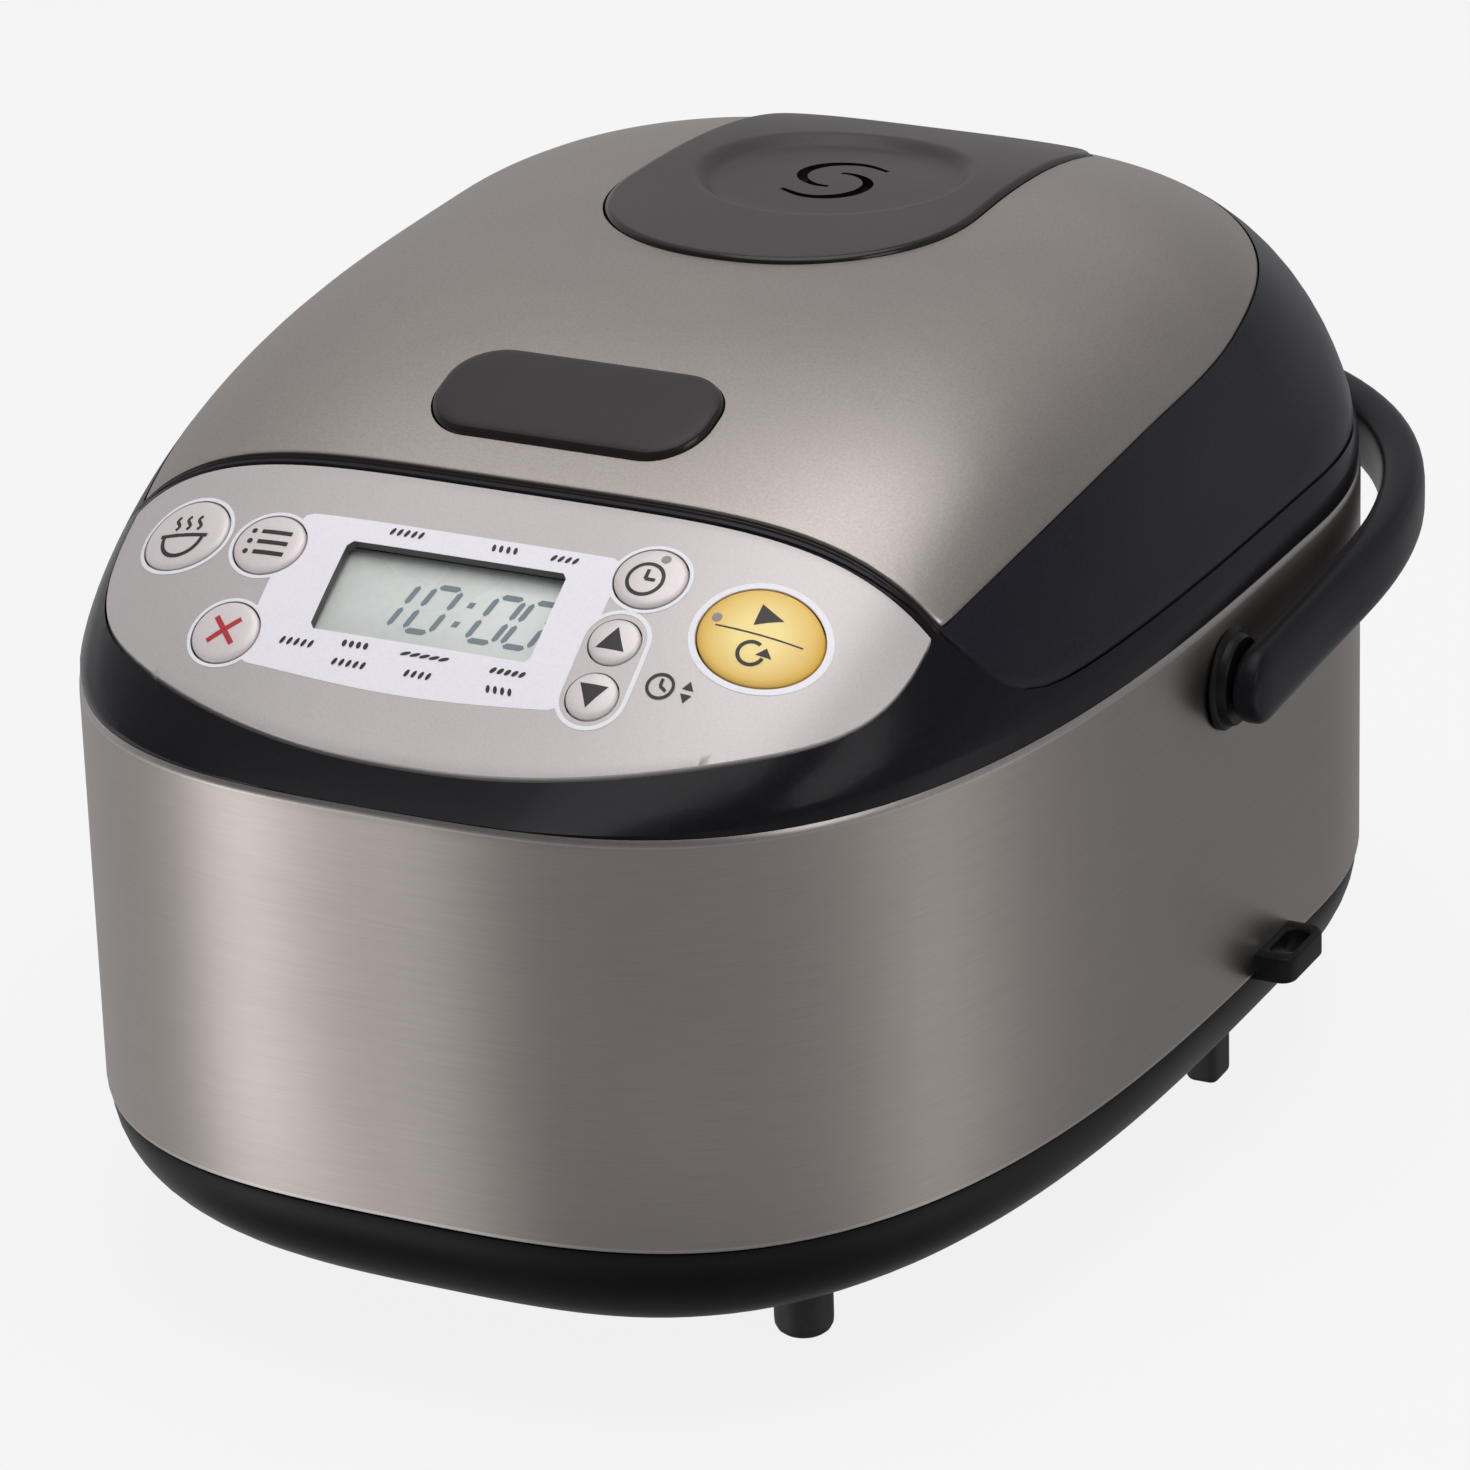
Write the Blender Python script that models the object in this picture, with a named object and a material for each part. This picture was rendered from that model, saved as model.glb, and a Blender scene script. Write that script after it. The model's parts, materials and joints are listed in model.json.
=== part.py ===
"""Micom rice cooker: a domed body with a hinged lid, folding handle, control panel and lift-out pot.

Every length below is in millimetres and every sub-part is built where it sits in the closed cooker.
make() turns millimetres into the metres that the scene uses. +Z is up, the control panel faces -Y,
the ground is z = 0 and the x = 0 plane is the plane of symmetry of the body.
"""

import math

import bmesh
import bpy
import numpy as np
from mathutils import Matrix, Vector

MM = 0.001
GAP = 0.3                 # clearance between neighbouring pieces

# ---- body outline, seen from above: a superellipse that is longer in front of its widest line
HALF_WIDTH = 106.0
Y_WIDEST = 42.9
REACH_FRONT = 193.3       # widest line to the front of the shell
REACH_REAR = 91.9         # widest line to the back of the shell
POWER_FRONT = 3.2
POWER_REAR = 2.35

# ---- heights
Z_FLOOR = 11.0            # flat underside of the base
Z_SHELL_LOW = 39.8
Z_SHELL_TOP = 123.2
Z_DECK = 131.0            # deck around the pot, under the lid
Z_LID = 131.5             # lower edge of the lid
Z_LIP = 132.8             # top of the low lip around the deck
BASE_INSET = 45.0         # how far the base tucks in on its way down to the floor

# ---- dome shared by lid, panel and shoulder
DOME_RISE = 59.95
DOME_SIDE_POWER = 4.6
DOME_SIDE_POWER_REAR = 3.25
DOME_SIDE_ROUND = 0.61
DOME_FRONT_POWER = 3.44
DOME_FRONT_ROUND = 1.25
DOME_REAR_POWER = 2.04
DOME_REAR_ROUND = 0.30

# ---- lid
LID_EDGE_INSET = 1.5
LID_FRONT_Y = -89.4
LID_CORNER_POWER = 20
SKIN_HALF_WIDTH = 91.8
SKIN_Y = -2.8
SKIN_FRONT_Y = -85.9
SKIN_THICK = 1.0
RECESS = 2.5
TRIM_FRONT_Y = -88.6
HINGE_Y, HINGE_Z = 130.2, 134.5
KNUCKLE_R = 4.6
PIN_R = 2.0
LID_OPEN_DEG = 85

BUTTON_Y = -66.3
BUTTON_HALF = (29.0, 13.5)
BUTTON_CORNER = 11.0
BUTTON_STROKE = 2.5

CAP_Y0, CAP_Y1 = -7.0, 97.6
CAP_NOSE = 37.5
CAP_HALF = 38.0
DISH_Y, DISH_R = 47.0, 24.0
Z_WELL = 164.5

# ---- panel: a lens between the lid front and an arc, tilted by TILT
PANEL_Y = -89.9
PANEL_HALF = 84.0
PANEL_DEEP = 51.8
PANEL_POWER = 2.3
PANEL_THICK = 2.2
TILT = math.radians(31.0)
PANEL_ORIGIN = (0.0, -113.2, 149.2)
BOARD_DEPTH = 13.5
DISPLAY = (-28.8, 17.4, -121.6, -104.8)     # x0, x1, y0, y1 of the window seen from above

# ---- pot and heater, all round about (0, POT_Y)
POT_Y = 26.0
POT_R = 80.5
POT_WALL = 1.5
POT_RIM_R = 90.0
POT_BOTTOM = 46.0
POT_RIM_Z = 131.3
LINER_R = 83.7

# ---- handle
PIVOT_Y, PIVOT_Z = -2.0, 108.5
ARM_X = 112.2
ARM_THICK = 6.6
ARM_TALL = 15.6
CROSS_Y = 145.7
CROSS_THICK = 9.4
CROSS_Z = 116.5

N = 32                    # points around each large ring, before the four corner directions


# =============================================================== materials and meshes
def material(name, colour, roughness, metallic=0.0):
    mat = bpy.data.materials.get(name) or bpy.data.materials.new(name)
    mat.use_nodes = True
    shader = mat.node_tree.nodes["Principled BSDF"]
    shader.inputs["Base Color"].default_value = (*colour, 1.0)
    shader.inputs["Roughness"].default_value = roughness
    shader.inputs["Metallic"].default_value = metallic
    mat.diffuse_color = (*colour, 1.0)
    return mat


def make(name, points, faces, mat=None):
    """A mesh object from points in millimetres, with its normals turned outward."""
    mesh = bpy.data.meshes.new(name)
    mesh.from_pydata([tuple(float(c) * MM for c in p) for p in points], [], [list(f) for f in faces])
    bm = bmesh.new()
    bm.from_mesh(mesh)
    bmesh.ops.recalc_face_normals(bm, faces=bm.faces)
    bm.to_mesh(mesh)
    bm.free()
    obj = bpy.data.objects.new(name, mesh)
    bpy.context.scene.collection.objects.link(obj)
    if mat:
        mesh.materials.append(mat)
    return obj


def loft(name, rings, mat=None, start=None, end=None, closed=False):
    """Skins a list of rings. start and end are poles; closed joins the last ring to the first."""
    n = len(rings[0])
    points = [p for ring in rings for p in ring]
    faces = []
    pairs = [(k, k + 1) for k in range(len(rings) - 1)] + ([(len(rings) - 1, 0)] if closed else [])
    for a, b in pairs:
        for i in range(n):
            j = (i + 1) % n
            faces.append((a * n + i, a * n + j, b * n + j, b * n + i))
    for pole, ring in ((start, 0), (end, len(rings) - 1)):
        if pole is not None:
            points.append(pole)
            top = len(points) - 1
            for i in range(n):
                faces.append((top, ring * n + i, ring * n + (i + 1) % n))
    if not closed:
        if start is None:
            faces.append(tuple(range(n)))
        if end is None:
            faces.append(tuple((len(rings) - 1) * n + i for i in range(n)))
    return make(name, points, faces, mat)


def lathe(name, profile, mat=None, centre=(0.0, 0.0), n=48, closed=False):
    """Turns a profile of (radius, z) about a vertical axis. A first or last radius of 0 is a pole."""
    start = end = None
    body = list(profile)
    if body[0][0] == 0:
        start = (centre[0], centre[1], body.pop(0)[1])
    if body[-1][0] == 0:
        end = (centre[0], centre[1], body.pop()[1])
    angle = [2 * math.pi * i / n for i in range(n)]
    rings = [[(centre[0] + r * math.cos(a), centre[1] + r * math.sin(a), z) for a in angle] for r, z in body]
    return loft(name, rings, mat, start, end, closed)


def block(name, x, y, z, mat=None):
    """A box between two x, two y and two z values."""
    points = [(a, b, c) for a in x for b in y for c in z]
    faces = [(0, 1, 3, 2), (4, 6, 7, 5), (0, 4, 5, 1), (2, 3, 7, 6), (0, 2, 6, 4), (1, 5, 7, 3)]
    return make(name, points, faces, mat)


def rod(name, a, b, radius, mat=None, n=20):
    """A straight cylinder from point a to point b."""
    a, b = Vector(a), Vector(b)
    turn = (b - a).to_track_quat("Z", "Y").to_matrix()
    rings = []
    for end in (a, b):
        rings.append([tuple(end + turn @ Vector((radius * math.cos(t), radius * math.sin(t), 0)))
                      for t in (2 * math.pi * i / n for i in range(n))])
    return loft(name, rings, mat)


def prism(name, outline, z0, z1, mat=None):
    return loft(name, [[(x, y, z) for x, y in outline] for z in (z0, z1)], mat)


def combine(obj, tool, operation):
    """Keeps an exact Boolean on obj, with its tool hidden."""
    mod = obj.modifiers.new(operation.lower(), "BOOLEAN")
    mod.operation = operation
    mod.solver = "EXACT"
    mod.object = tool
    tool.hide_render = True
    tool.display_type = "WIRE"
    return obj


def cut(obj, *tools):
    for tool in tools:
        combine(obj, tool, "DIFFERENCE")
    return obj


def add(obj, *tools):
    for tool in tools:
        combine(obj, tool, "UNION")
    return obj


def tube_along(name, path, radius, mat=None, n=8):
    """A round wire along a list of points, with flat ends."""
    path = [Vector(p) for p in path]
    rings = []
    side = None
    for i, p in enumerate(path):
        along = (path[min(i + 1, len(path) - 1)] - path[max(i - 1, 0)]).normalized()
        if side is None:
            side = along.orthogonal().normalized()
        side = (side - along * side.dot(along)).normalized()
        other = along.cross(side)
        rings.append([tuple(p + radius * (side * math.cos(t) + other * math.sin(t)))
                      for t in (2 * math.pi * k / n for k in range(n))])
    return loft(name, rings, mat)


def coil(name, centre, axis, radius, z0, z1, turns, wire, mat, steps=12):
    """A coil spring about an axis ("X" or "Z") between two positions on it."""
    path = []
    count = int(turns * steps)
    for i in range(count + 1):
        t = 2 * math.pi * i / steps
        along = z0 + wire + (z1 - z0 - 2 * wire) * i / count
        c, s = radius * math.cos(t), radius * math.sin(t)
        path.append((centre[0] + c, centre[1] + s, along) if axis == "Z" else (along, centre[0] + c, centre[1] + s))
    return tube_along(name, path, wire, mat, 5)


# =============================================================== the plan outlines and the dome
def gauge_body(x, y, inset=0.0):
    """1 on the body outline moved inward by inset, less inside it."""
    dy = y - Y_WIDEST
    deep = (REACH_FRONT if dy < 0 else REACH_REAR) - inset
    power = POWER_FRONT if dy < 0 else POWER_REAR
    return ((abs(x) / (HALF_WIDTH - inset)) ** power + (abs(dy) / deep) ** power) ** (1 / power)


def gauge_lid(x, y, inset=0.0):
    """1 on the lid outline: the body outline, cut off in front by a nearly straight edge."""
    g = gauge_body(x, y, LID_EDGE_INSET + inset)
    front = max(0.0, (Y_WIDEST - y) / (Y_WIDEST - LID_FRONT_Y - inset))
    return (g ** LID_CORNER_POWER + front ** LID_CORNER_POWER) ** (1 / LID_CORNER_POWER)


def gauge_skin(x, y, inset=0.0, front_y=SKIN_FRONT_Y):
    """1 on the outline of the steel skin of the lid."""
    dy = y - SKIN_Y
    deep, power = ((165.0, 2.5) if dy < 0 else (111.0, 3.0))
    g = ((abs(x) / (SKIN_HALF_WIDTH - inset)) ** power + (abs(dy) / (deep - inset)) ** power) ** (1 / power)
    front = max(0.0, (Y_WIDEST - y) / (Y_WIDEST - front_y - inset))
    return (g ** 160 + front ** 160) ** (1 / 160)


def gauge_panel(x, y, inset=0.0):
    """1 on the lens-shaped outline of the control panel."""
    if y > PANEL_Y - inset:
        return 2.0
    return ((abs(x) / (PANEL_HALF - inset)) ** PANEL_POWER
            + (abs(y - PANEL_Y) / (PANEL_DEEP - inset)) ** PANEL_POWER) ** (1 / PANEL_POWER)


def reach(gauge, centre, angle, far=260.0):
    """Distance from centre to the outline gauge = 1 in one direction."""
    lo, hi = 0.0, far
    c, s = math.cos(angle), math.sin(angle)
    for _ in range(40):
        mid = (lo + hi) / 2
        if gauge(centre[0] + mid * c, centre[1] + mid * s) < 1:
            lo = mid
        else:
            hi = mid
    return (lo + hi) / 2


def outline(gauge, centre=(0.0, Y_WIDEST), n=N, angles=None):
    """Points of an outline, one for each direction from its centre."""
    out = []
    for a in (angles if angles is not None else ring_angles(n)):
        r = reach(gauge, centre, a)
        out.append((centre[0] + r * math.cos(a), centre[1] + r * math.sin(a)))
    return out


def ring_angles(n=N):
    """Directions from the body centre, even along the outline, with the front corners of the lid among them."""
    out = []
    for i in range(n):
        t = 2 * math.pi * i / n
        deep = REACH_FRONT if math.sin(t) < 0 else REACH_REAR
        out.append(math.atan2(deep * math.sin(t), HALF_WIDTH * math.cos(t)) % (2 * math.pi))
    for x, y in ((84.6, -88.0), (94.0, -82.0)):
        for side in (-1, 1):
            out.append(math.atan2(y - Y_WIDEST, side * x) % (2 * math.pi))
    return sorted(out)


def dome(x, y):
    """Height of the domed top over the point x, y."""
    dy = y - Y_WIDEST
    ahead = dy < 0
    deep = REACH_FRONT if ahead else REACH_REAR
    t = min(abs(dy) / deep, 1.0)
    power = POWER_FRONT if ahead else POWER_REAR
    half = HALF_WIDTH * max(1 - t ** power, 0.0) ** (1 / power)
    rise_power, rise_round = ((DOME_FRONT_POWER, DOME_FRONT_ROUND) if ahead
                              else (DOME_REAR_POWER, DOME_REAR_ROUND))
    rise = DOME_RISE * max(1 - t ** rise_power, 0.0) ** rise_round
    s = min(abs(x) / max(half, 1e-6), 1.0)
    side = DOME_SIDE_POWER + (0 if ahead else (DOME_SIDE_POWER_REAR - DOME_SIDE_POWER) * t)
    return Z_SHELL_TOP + rise * max(1 - s ** side, 0.0) ** DOME_SIDE_ROUND


def body_ring(inset, z, n=N):
    return [(x, y, z) for x, y in outline(lambda x, y: gauge_body(x, y, inset), n=n)]


def between(a, b, share):
    return [(p[0] + (q[0] - p[0]) * share, p[1] + (q[1] - p[1]) * share) for p, q in zip(a, b)]


def on_dome(points, lift=0.0):
    return [(x, y, dome(x, y) + lift) for x, y in points]


def at(points, z):
    return [(p[0], p[1], z) for p in points]


def rounded_rectangle(cx, cy, hx, hy, corner, per_corner=5):
    out = []
    for qx, qy, a0 in ((1, 1, 0), (-1, 1, 90), (-1, -1, 180), (1, -1, 270)):
        for k in range(per_corner):
            a = math.radians(a0 + 90 * k / (per_corner - 1))
            out.append((cx + qx * (hx - corner) + corner * math.cos(a),
                        cy + qy * (hy - corner) + corner * math.sin(a)))
    return out


def cap_gauge(x, y, inset=0.0):
    """1 on the D shape of the steam cap: round in front, straight behind."""
    half = CAP_HALF - inset
    round_y = CAP_Y0 + CAP_NOSE
    side = abs(x) / (half - max(0.0, y - round_y) * 0.035)
    if y < round_y:
        side = (side ** 2.2 + ((round_y - y) / (CAP_NOSE - inset)) ** 2.2) ** (1 / 2.2)
    back = max(0.0, (y - 30.0) / (CAP_Y1 - inset - 30.0))
    return (side ** 24 + back ** 24) ** (1 / 24)


def set_origin(obj, point):
    """Moves the origin of an object to a point in millimetres without moving its mesh."""
    where = Vector(point) * MM
    obj.data.transform(Matrix.Translation(-where))
    obj.location = where
    return obj


# =============================================================== shell and base
def outer_shell(steel):
    """Brushed band, open at both ends, with a rolled rim at its top and a folded edge below."""
    rings = [body_ring(0.0, Z_SHELL_LOW), body_ring(0.0, Z_SHELL_TOP - 0.9),
             body_ring(0.3, Z_SHELL_TOP - 0.2), body_ring(0.8, Z_SHELL_TOP - 0.2),
             body_ring(0.9, Z_SHELL_TOP - 1.0), body_ring(0.9, Z_SHELL_LOW)]
    shell = loft("outer_shell", rings, steel, closed=True)
    for side in (-1, 1):
        cut(shell, rod("cut_boss", (side * 98, PIVOT_Y, PIVOT_Z), (side * 110, PIVOT_Y, PIVOT_Z), 8.3))
    cut(shell, block("cut_inlet", (-16.3, 16.3), (120, 140), (50.7, 73.3)))
    cut(shell, block("cut_loop", (96, 112), (9.7, 29.3), (30, 44.8)))
    return shell


def base_curve(depth):
    """Inset of the base at a depth below the shell edge."""
    full = Z_SHELL_LOW - Z_FLOOR
    return BASE_INSET * (1 - math.sqrt(max(0.0, 1 - (depth / full) ** 2)))


def base_housing(black):
    """Bowl under the shell with a locating lip, foot sockets and posts for what stands in it."""
    wall = 2.2
    rings = [body_ring(3.4, 46.0), body_ring(1.3, 46.0), body_ring(1.3, Z_SHELL_LOW - GAP),
             body_ring(0.4, Z_SHELL_LOW - GAP)]
    full = Z_SHELL_LOW - Z_FLOOR
    steps = (0.34, 0.62, 0.84, 0.96)
    for s in steps:
        rings.append(body_ring(base_curve(s * full) + 0.4, Z_SHELL_LOW - s * full))
    rings.append(body_ring(BASE_INSET, Z_FLOOR))
    inner = [body_ring(BASE_INSET + 1, Z_FLOOR + wall)]
    for s in steps[::-1]:
        z = Z_SHELL_LOW - s * full
        inner.append(body_ring(base_curve(s * full) + 0.4 + wall * 1.1, z + wall * s))
    centre_low = (0.0, 10.0, Z_FLOOR)
    centre_high = (0.0, 10.0, Z_FLOOR + wall)
    outside = rings[::-1]
    base = loft("base_housing", outside + [body_ring(3.4, 40.0)] + inner[::-1], black,
                start=centre_low, end=centre_high)
    for x, y in post_places():
        add(base, rod("post", (x, y, Z_FLOOR + 1), (x, y, 29.7), 4.0, n=8))
    for x, y in board_post_places():
        add(base, rod("board_post", (x, y, Z_FLOOR + 1.2), (x, y, 27.7), 3.2, n=8))
    for side in (-1, 1):
        add(base, rod("foot_boss", (side * 55, -92, 12.4), (side * 55, -92, 19), 8.4, n=14))
        add(base, prism("foot_boss", rounded_rectangle(side * 82.4, 39, 7.6, 9.2, 4, 3), 16.5, 25))
        cut(base, rod("foot_socket", (side * 55, -92, 5), (side * 55, -92, 16), 6.15, n=14))
        cut(base, prism("foot_socket", rounded_rectangle(side * 82.4, 39, 4.6, 6.1, 2.6, 3), 5, 22))
    cut(base, rod("cover_hole", (0, 20, 5), (0, 20, 20), 47.0, n=32))
    for x, y in screw_places():
        cut(base, rod("screw_hole", (x, y, 5), (x, y, 17.6), 1.8, n=8))
    cut(base, block("cut_loop_base", (101.2, 112), (9.7, 29.3), (38.5, 50)))
    return base


def post_places():
    return [(sx * 44.0, POT_Y + sy * 44.0) for sx in (-1, 1) for sy in (-1, 1)]


def board_post_places():
    return [(sx * 44.0, y) for sx in (-1, 1) for y in (-99.0,)]


def screw_places():
    return [(52.0 * math.cos(a), 20 + 52.0 * math.sin(a)) for a in (math.radians(d) for d in (40, 140, 220, 320))]


def bottom_cover(steel):
    """Round service plate with a pressed centre and vent slots."""
    cover = lathe("bottom_cover", [(0, 9.5), (57, 9.5), (57, 10.7), (46.4, 10.7), (46.4, 12.4), (45.2, 12.4),
                                   (45.2, 10.7), (0, 10.7)], steel, (0, 20), 26)
    for k in range(3):
        y = 20 + (k - 1) * 14.0
        cut(cover, block("vent", (-22, 22), (y - 2, y + 2), (8, 13)))
    for x, y in screw_places():
        cut(cover, rod("cover_screw_hole", (x, y, 8), (x, y, 13), 1.8, n=8))
    return cover


def cover_screw(k, x, y, steel):
    """Pan-head screw with a cross slot."""
    screw = lathe("cover_screw_%d" % k, [(0, 7.1), (2.0, 7.2), (2.9, 7.9), (3.1, 9.2), (1.5, 9.2), (1.5, 14.8),
                                         (0, 15.0)], steel, (x, y), 8)
    cut(screw, block("slot", (x - 2, x + 2), (y - 0.4, y + 0.4), (6, 8.0)))
    return screw


def front_foot(side, rubber):
    name = "front_foot_%s" % ("l" if side < 0 else "r")
    return lathe(name, [(0, 0), (3.6, 0.0), (5.1, 0.7), (5.8, 2.2), (5.8, 15.7), (0, 15.7)], rubber,
                 (side * 55, -92), 14)


def rear_foot(side, rubber):
    name = "rear_foot_%s" % ("l" if side < 0 else "r")
    low = rounded_rectangle(side * 82.4, 39, 3.3, 4.8, 1.8, 3)
    full = rounded_rectangle(side * 82.4, 39, 4.3, 5.8, 2.4, 3)
    return loft(name, [at(low, 0.0), at(full, 1.0), at(full, 21.7)], rubber)


def spatula_loop(black):
    """Flat eye on the side at the seam of the base, for hanging the spatula holder."""
    outer = rounded_rectangle(107.75, 19.5, 6.15, 9.3, 3.2, 4)
    loop = prism("spatula_loop", outer, 38.8, 44.4, black)
    return cut(loop, prism("loop_slot", rounded_rectangle(109.7, 19.5, 2.4, 5.8, 1.6, 4), 30, 50))


# =============================================================== upper frame and panel
def lid_edge(grow, n=N):
    """Outline of the lid moved outward by grow (inward when negative)."""
    return outline(lambda x, y: gauge_lid(x, y, -grow), n=n)


def lip_limit(y):
    """The lip stays low beside and behind the lid and rises freely in front of it."""
    return Z_LIP + 1.6 * max(0.0, -64.0 - y)


def circle(radius, centre=(0.0, POT_Y), angles=None, about=(0.0, Y_WIDEST)):
    """Points of a circle in the directions used by the body rings."""
    def inside(x, y):
        return math.hypot(x - centre[0], y - centre[1]) / radius
    return outline(inside, about, angles=angles if angles is not None else ring_angles())


def upper_frame(black):
    """Gloss frame: shoulder and panel bulge in front, low lip around, deck with the pot opening."""
    rim = [p[:2] for p in body_ring(0.0, 0)]
    inner = lid_edge(0.45)
    rings = [body_ring(1.3, 117.3), body_ring(1.3, Z_SHELL_TOP + 0.1), at(rim, Z_SHELL_TOP + 0.1)]
    for share in (0.06, 0.2, 0.42, 0.7, 1.0):
        ring = between(rim, inner, share)
        rings.append([(x, y, max(Z_SHELL_TOP + 0.1 + 4 * share, min(dome(x, y), lip_limit(y)))) for x, y in ring])
    rings += [at(inner, Z_DECK), at(circle(95.6), Z_DECK), at(circle(95.6), 129.5), at(circle(87.0), 129.5),
              at(circle(87.0), 126.8), at(circle(96.8), 126.8)]
    skirt = [p[:2] for p in body_ring(3.4, 0)]
    wall = lid_edge(2.4)
    start = []
    for (wx, wy), (sx, sy) in zip(wall, skirt):
        rw, rs = math.hypot(wx, wy - Y_WIDEST), math.hypot(sx, sy - Y_WIDEST)
        share = min(rw, rs - 0.9) / rs
        start.append((sx * share, Y_WIDEST + (sy - Y_WIDEST) * share))
    for share in (0.0, 0.2, 0.6, 1.0):
        ring = []
        for (ax, ay), (bx, by), (wx, wy) in zip(start, skirt, wall):
            x, y = ax + (bx - ax) * share, ay + (by - ay) * share
            past = math.hypot(x, y - Y_WIDEST) - math.hypot(wx, wy - Y_WIDEST)
            top = min(dome(x, y) - 4.6, 126.8 + 10.0 * max(0.0, past))
            ring.append((x, y, max(120.5, top) if past > 0 else 126.8))
        rings.append(ring)
    rings.append(body_ring(3.4, 117.3))
    frame = loft("upper_frame", rings, black, closed=True)
    cut(frame, lens("seat", 0.3, PANEL_THICK + GAP, 12.0), lens("seat_window", -3.1, 30.0, 12.0))
    # room for the barrels of the lid, then the two barrels that stay with the frame
    cut(frame, block("hinge_room", (-34.6, 34.6), (124.8, 140), (129.3, 140)))
    for side in (-1, 1):
        x = sorted((side * 24.3, side * 34.0))
        add(frame, rod("barrel", (x[0], HINGE_Y, HINGE_Z), (x[1], HINGE_Y, HINGE_Z), KNUCKLE_R))
        add(frame, block("barrel_foot", (x[0] + 0.4, x[1] - 0.4), (127.0, 133.6), (127.6, 133.6)))
    cut(frame, rod("pin_bore", (-50, HINGE_Y, HINGE_Z), (50, HINGE_Y, HINGE_Z), PIN_R + GAP, n=20))
    cut(frame, block("latch_slot", (-15.5, 15.5), (-86.9, -76.5), (120, 136)))
    return frame


def lens(name, grow, down, up):
    """Cutter over the panel lens: its floor follows the dome at depth down."""
    count = 23
    edge = []
    for i in range(count + 1):
        t = math.pi + math.pi * i / count
        c, s = math.cos(t), math.sin(t)
        r = (abs(c) ** PANEL_POWER + abs(s) ** PANEL_POWER) ** (-1 / PANEL_POWER)
        edge.append(((PANEL_HALF + grow) * r * c, PANEL_Y + grow * (0.2 if grow > 0 else 1.0)
                     + (PANEL_DEEP + grow * 2) * r * s))
    return lens_body(name, edge, -down, up)


def lens_body(name, edge, low, high, mat=None, rows=3):
    """A plate over a lens outline: edge runs along the arc, and its straight side closes it."""
    n = len(edge)
    left, right = edge[0], edge[-1]
    lines = []
    for k in range(rows + 1):
        share = k / rows
        line = []
        for i, (x, y) in enumerate(edge):
            u = (x - left[0]) / (right[0] - left[0])
            top = left[1] + (right[1] - left[1]) * u
            line.append((x, y + (top - y) * share))
        lines.append(line)
    points, faces = [], []
    for lift in (low, high):
        for k, line in enumerate(lines):
            for i, (x, y) in enumerate(line):
                points.append((x, y, dome(x, y) + lift))
    size = n * (rows + 1)

    def at_index(layer, k, i):
        if i in (0, n - 1):
            k = 0
        return layer * size + k * n + i
    for k in range(rows):
        for i in range(n - 1):
            for layer in (0, 1):
                quad = [at_index(layer, k, i), at_index(layer, k, i + 1),
                        at_index(layer, k + 1, i + 1), at_index(layer, k + 1, i)]
                face = [q for j, q in enumerate(quad) if q not in quad[:j]]
                if len(face) > 2:
                    faces.append(tuple(face))
    for i in range(n - 1):
        faces.append((at_index(0, 0, i), at_index(0, 0, i + 1), at_index(1, 0, i + 1), at_index(1, 0, i)))
        faces.append((at_index(0, rows, i), at_index(0, rows, i + 1), at_index(1, rows, i + 1),
                      at_index(1, rows, i)))
    used = sorted({q for f in faces for q in f})
    place = {q: j for j, q in enumerate(used)}
    return make(name, [points[q] for q in used], [tuple(place[q] for q in f) for f in faces], mat)


def panel_normal():
    return Vector((0.0, -math.sin(TILT), math.cos(TILT)))


def panel_slope():
    return Vector((0.0, math.cos(TILT), math.sin(TILT)))


def on_surface(x, y):
    return Vector((x, y, dome(x, y)))


def drop_to_dome(point):
    """Slides a point along the panel normal until it meets the dome."""
    normal = panel_normal()
    lo, hi = -30.0, 30.0
    for _ in range(36):
        mid = (lo + hi) / 2
        p = point + normal * mid
        if p.z > dome(p.x, p.y):
            hi = mid
        else:
            lo = mid
    return point + normal * (lo + hi) / 2


def board_height(point):
    """Signed distance of a point above the panel plane."""
    return (Vector(point) - Vector(PANEL_ORIGIN)).dot(panel_normal())


def keys():
    """Name, centre seen from above, and the two half sizes in the panel plane, of every key."""
    return [("key_keep_warm", -64.5, -104.6, 9.5, 8.1), ("key_menu", -44.6, -107.4, 7.4, 6.7),
            ("key_cancel", -45.4, -124.0, 6.9, 6.6), ("key_timer", 33.6, -103.1, 7.1, 6.7),
            ("key_start", 58.2, -108.3, 11.7, 10.4), ("key_up", 32.2, -115.6, 5.0, 4.9),
            ("key_down", 32.2, -125.3, 5.0, 4.9)]


def key_ring(x, y, a, b, lift, n=12, follow=True):
    """Oval of a key at a lift above the dome, or on a plane of the board when follow is False."""
    out = []
    centre = on_surface(x, y)
    for i in range(n):
        t = 2 * math.pi * i / n
        p = centre + Vector((a * math.cos(t), 0, 0)) + panel_slope() * (b * math.sin(t))
        if follow:
            p = drop_to_dome(p) + panel_normal() * lift
        else:
            p = p + panel_normal() * (lift - board_height(p))
        out.append(tuple(p))
    return out


def key_cutter(name, x, y, a, b):
    return loft(name, [key_ring(x, y, a + GAP, b + GAP, -14), key_ring(x, y, a + GAP, b + GAP, 6)])


def display_outline(grow):
    x0, x1, y0, y1 = DISPLAY
    return [(x0 - grow, y0 - grow), (x1 + grow, y0 - grow), (x1 + grow, y1 + grow), (x0 - grow, y1 + grow)]


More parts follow.
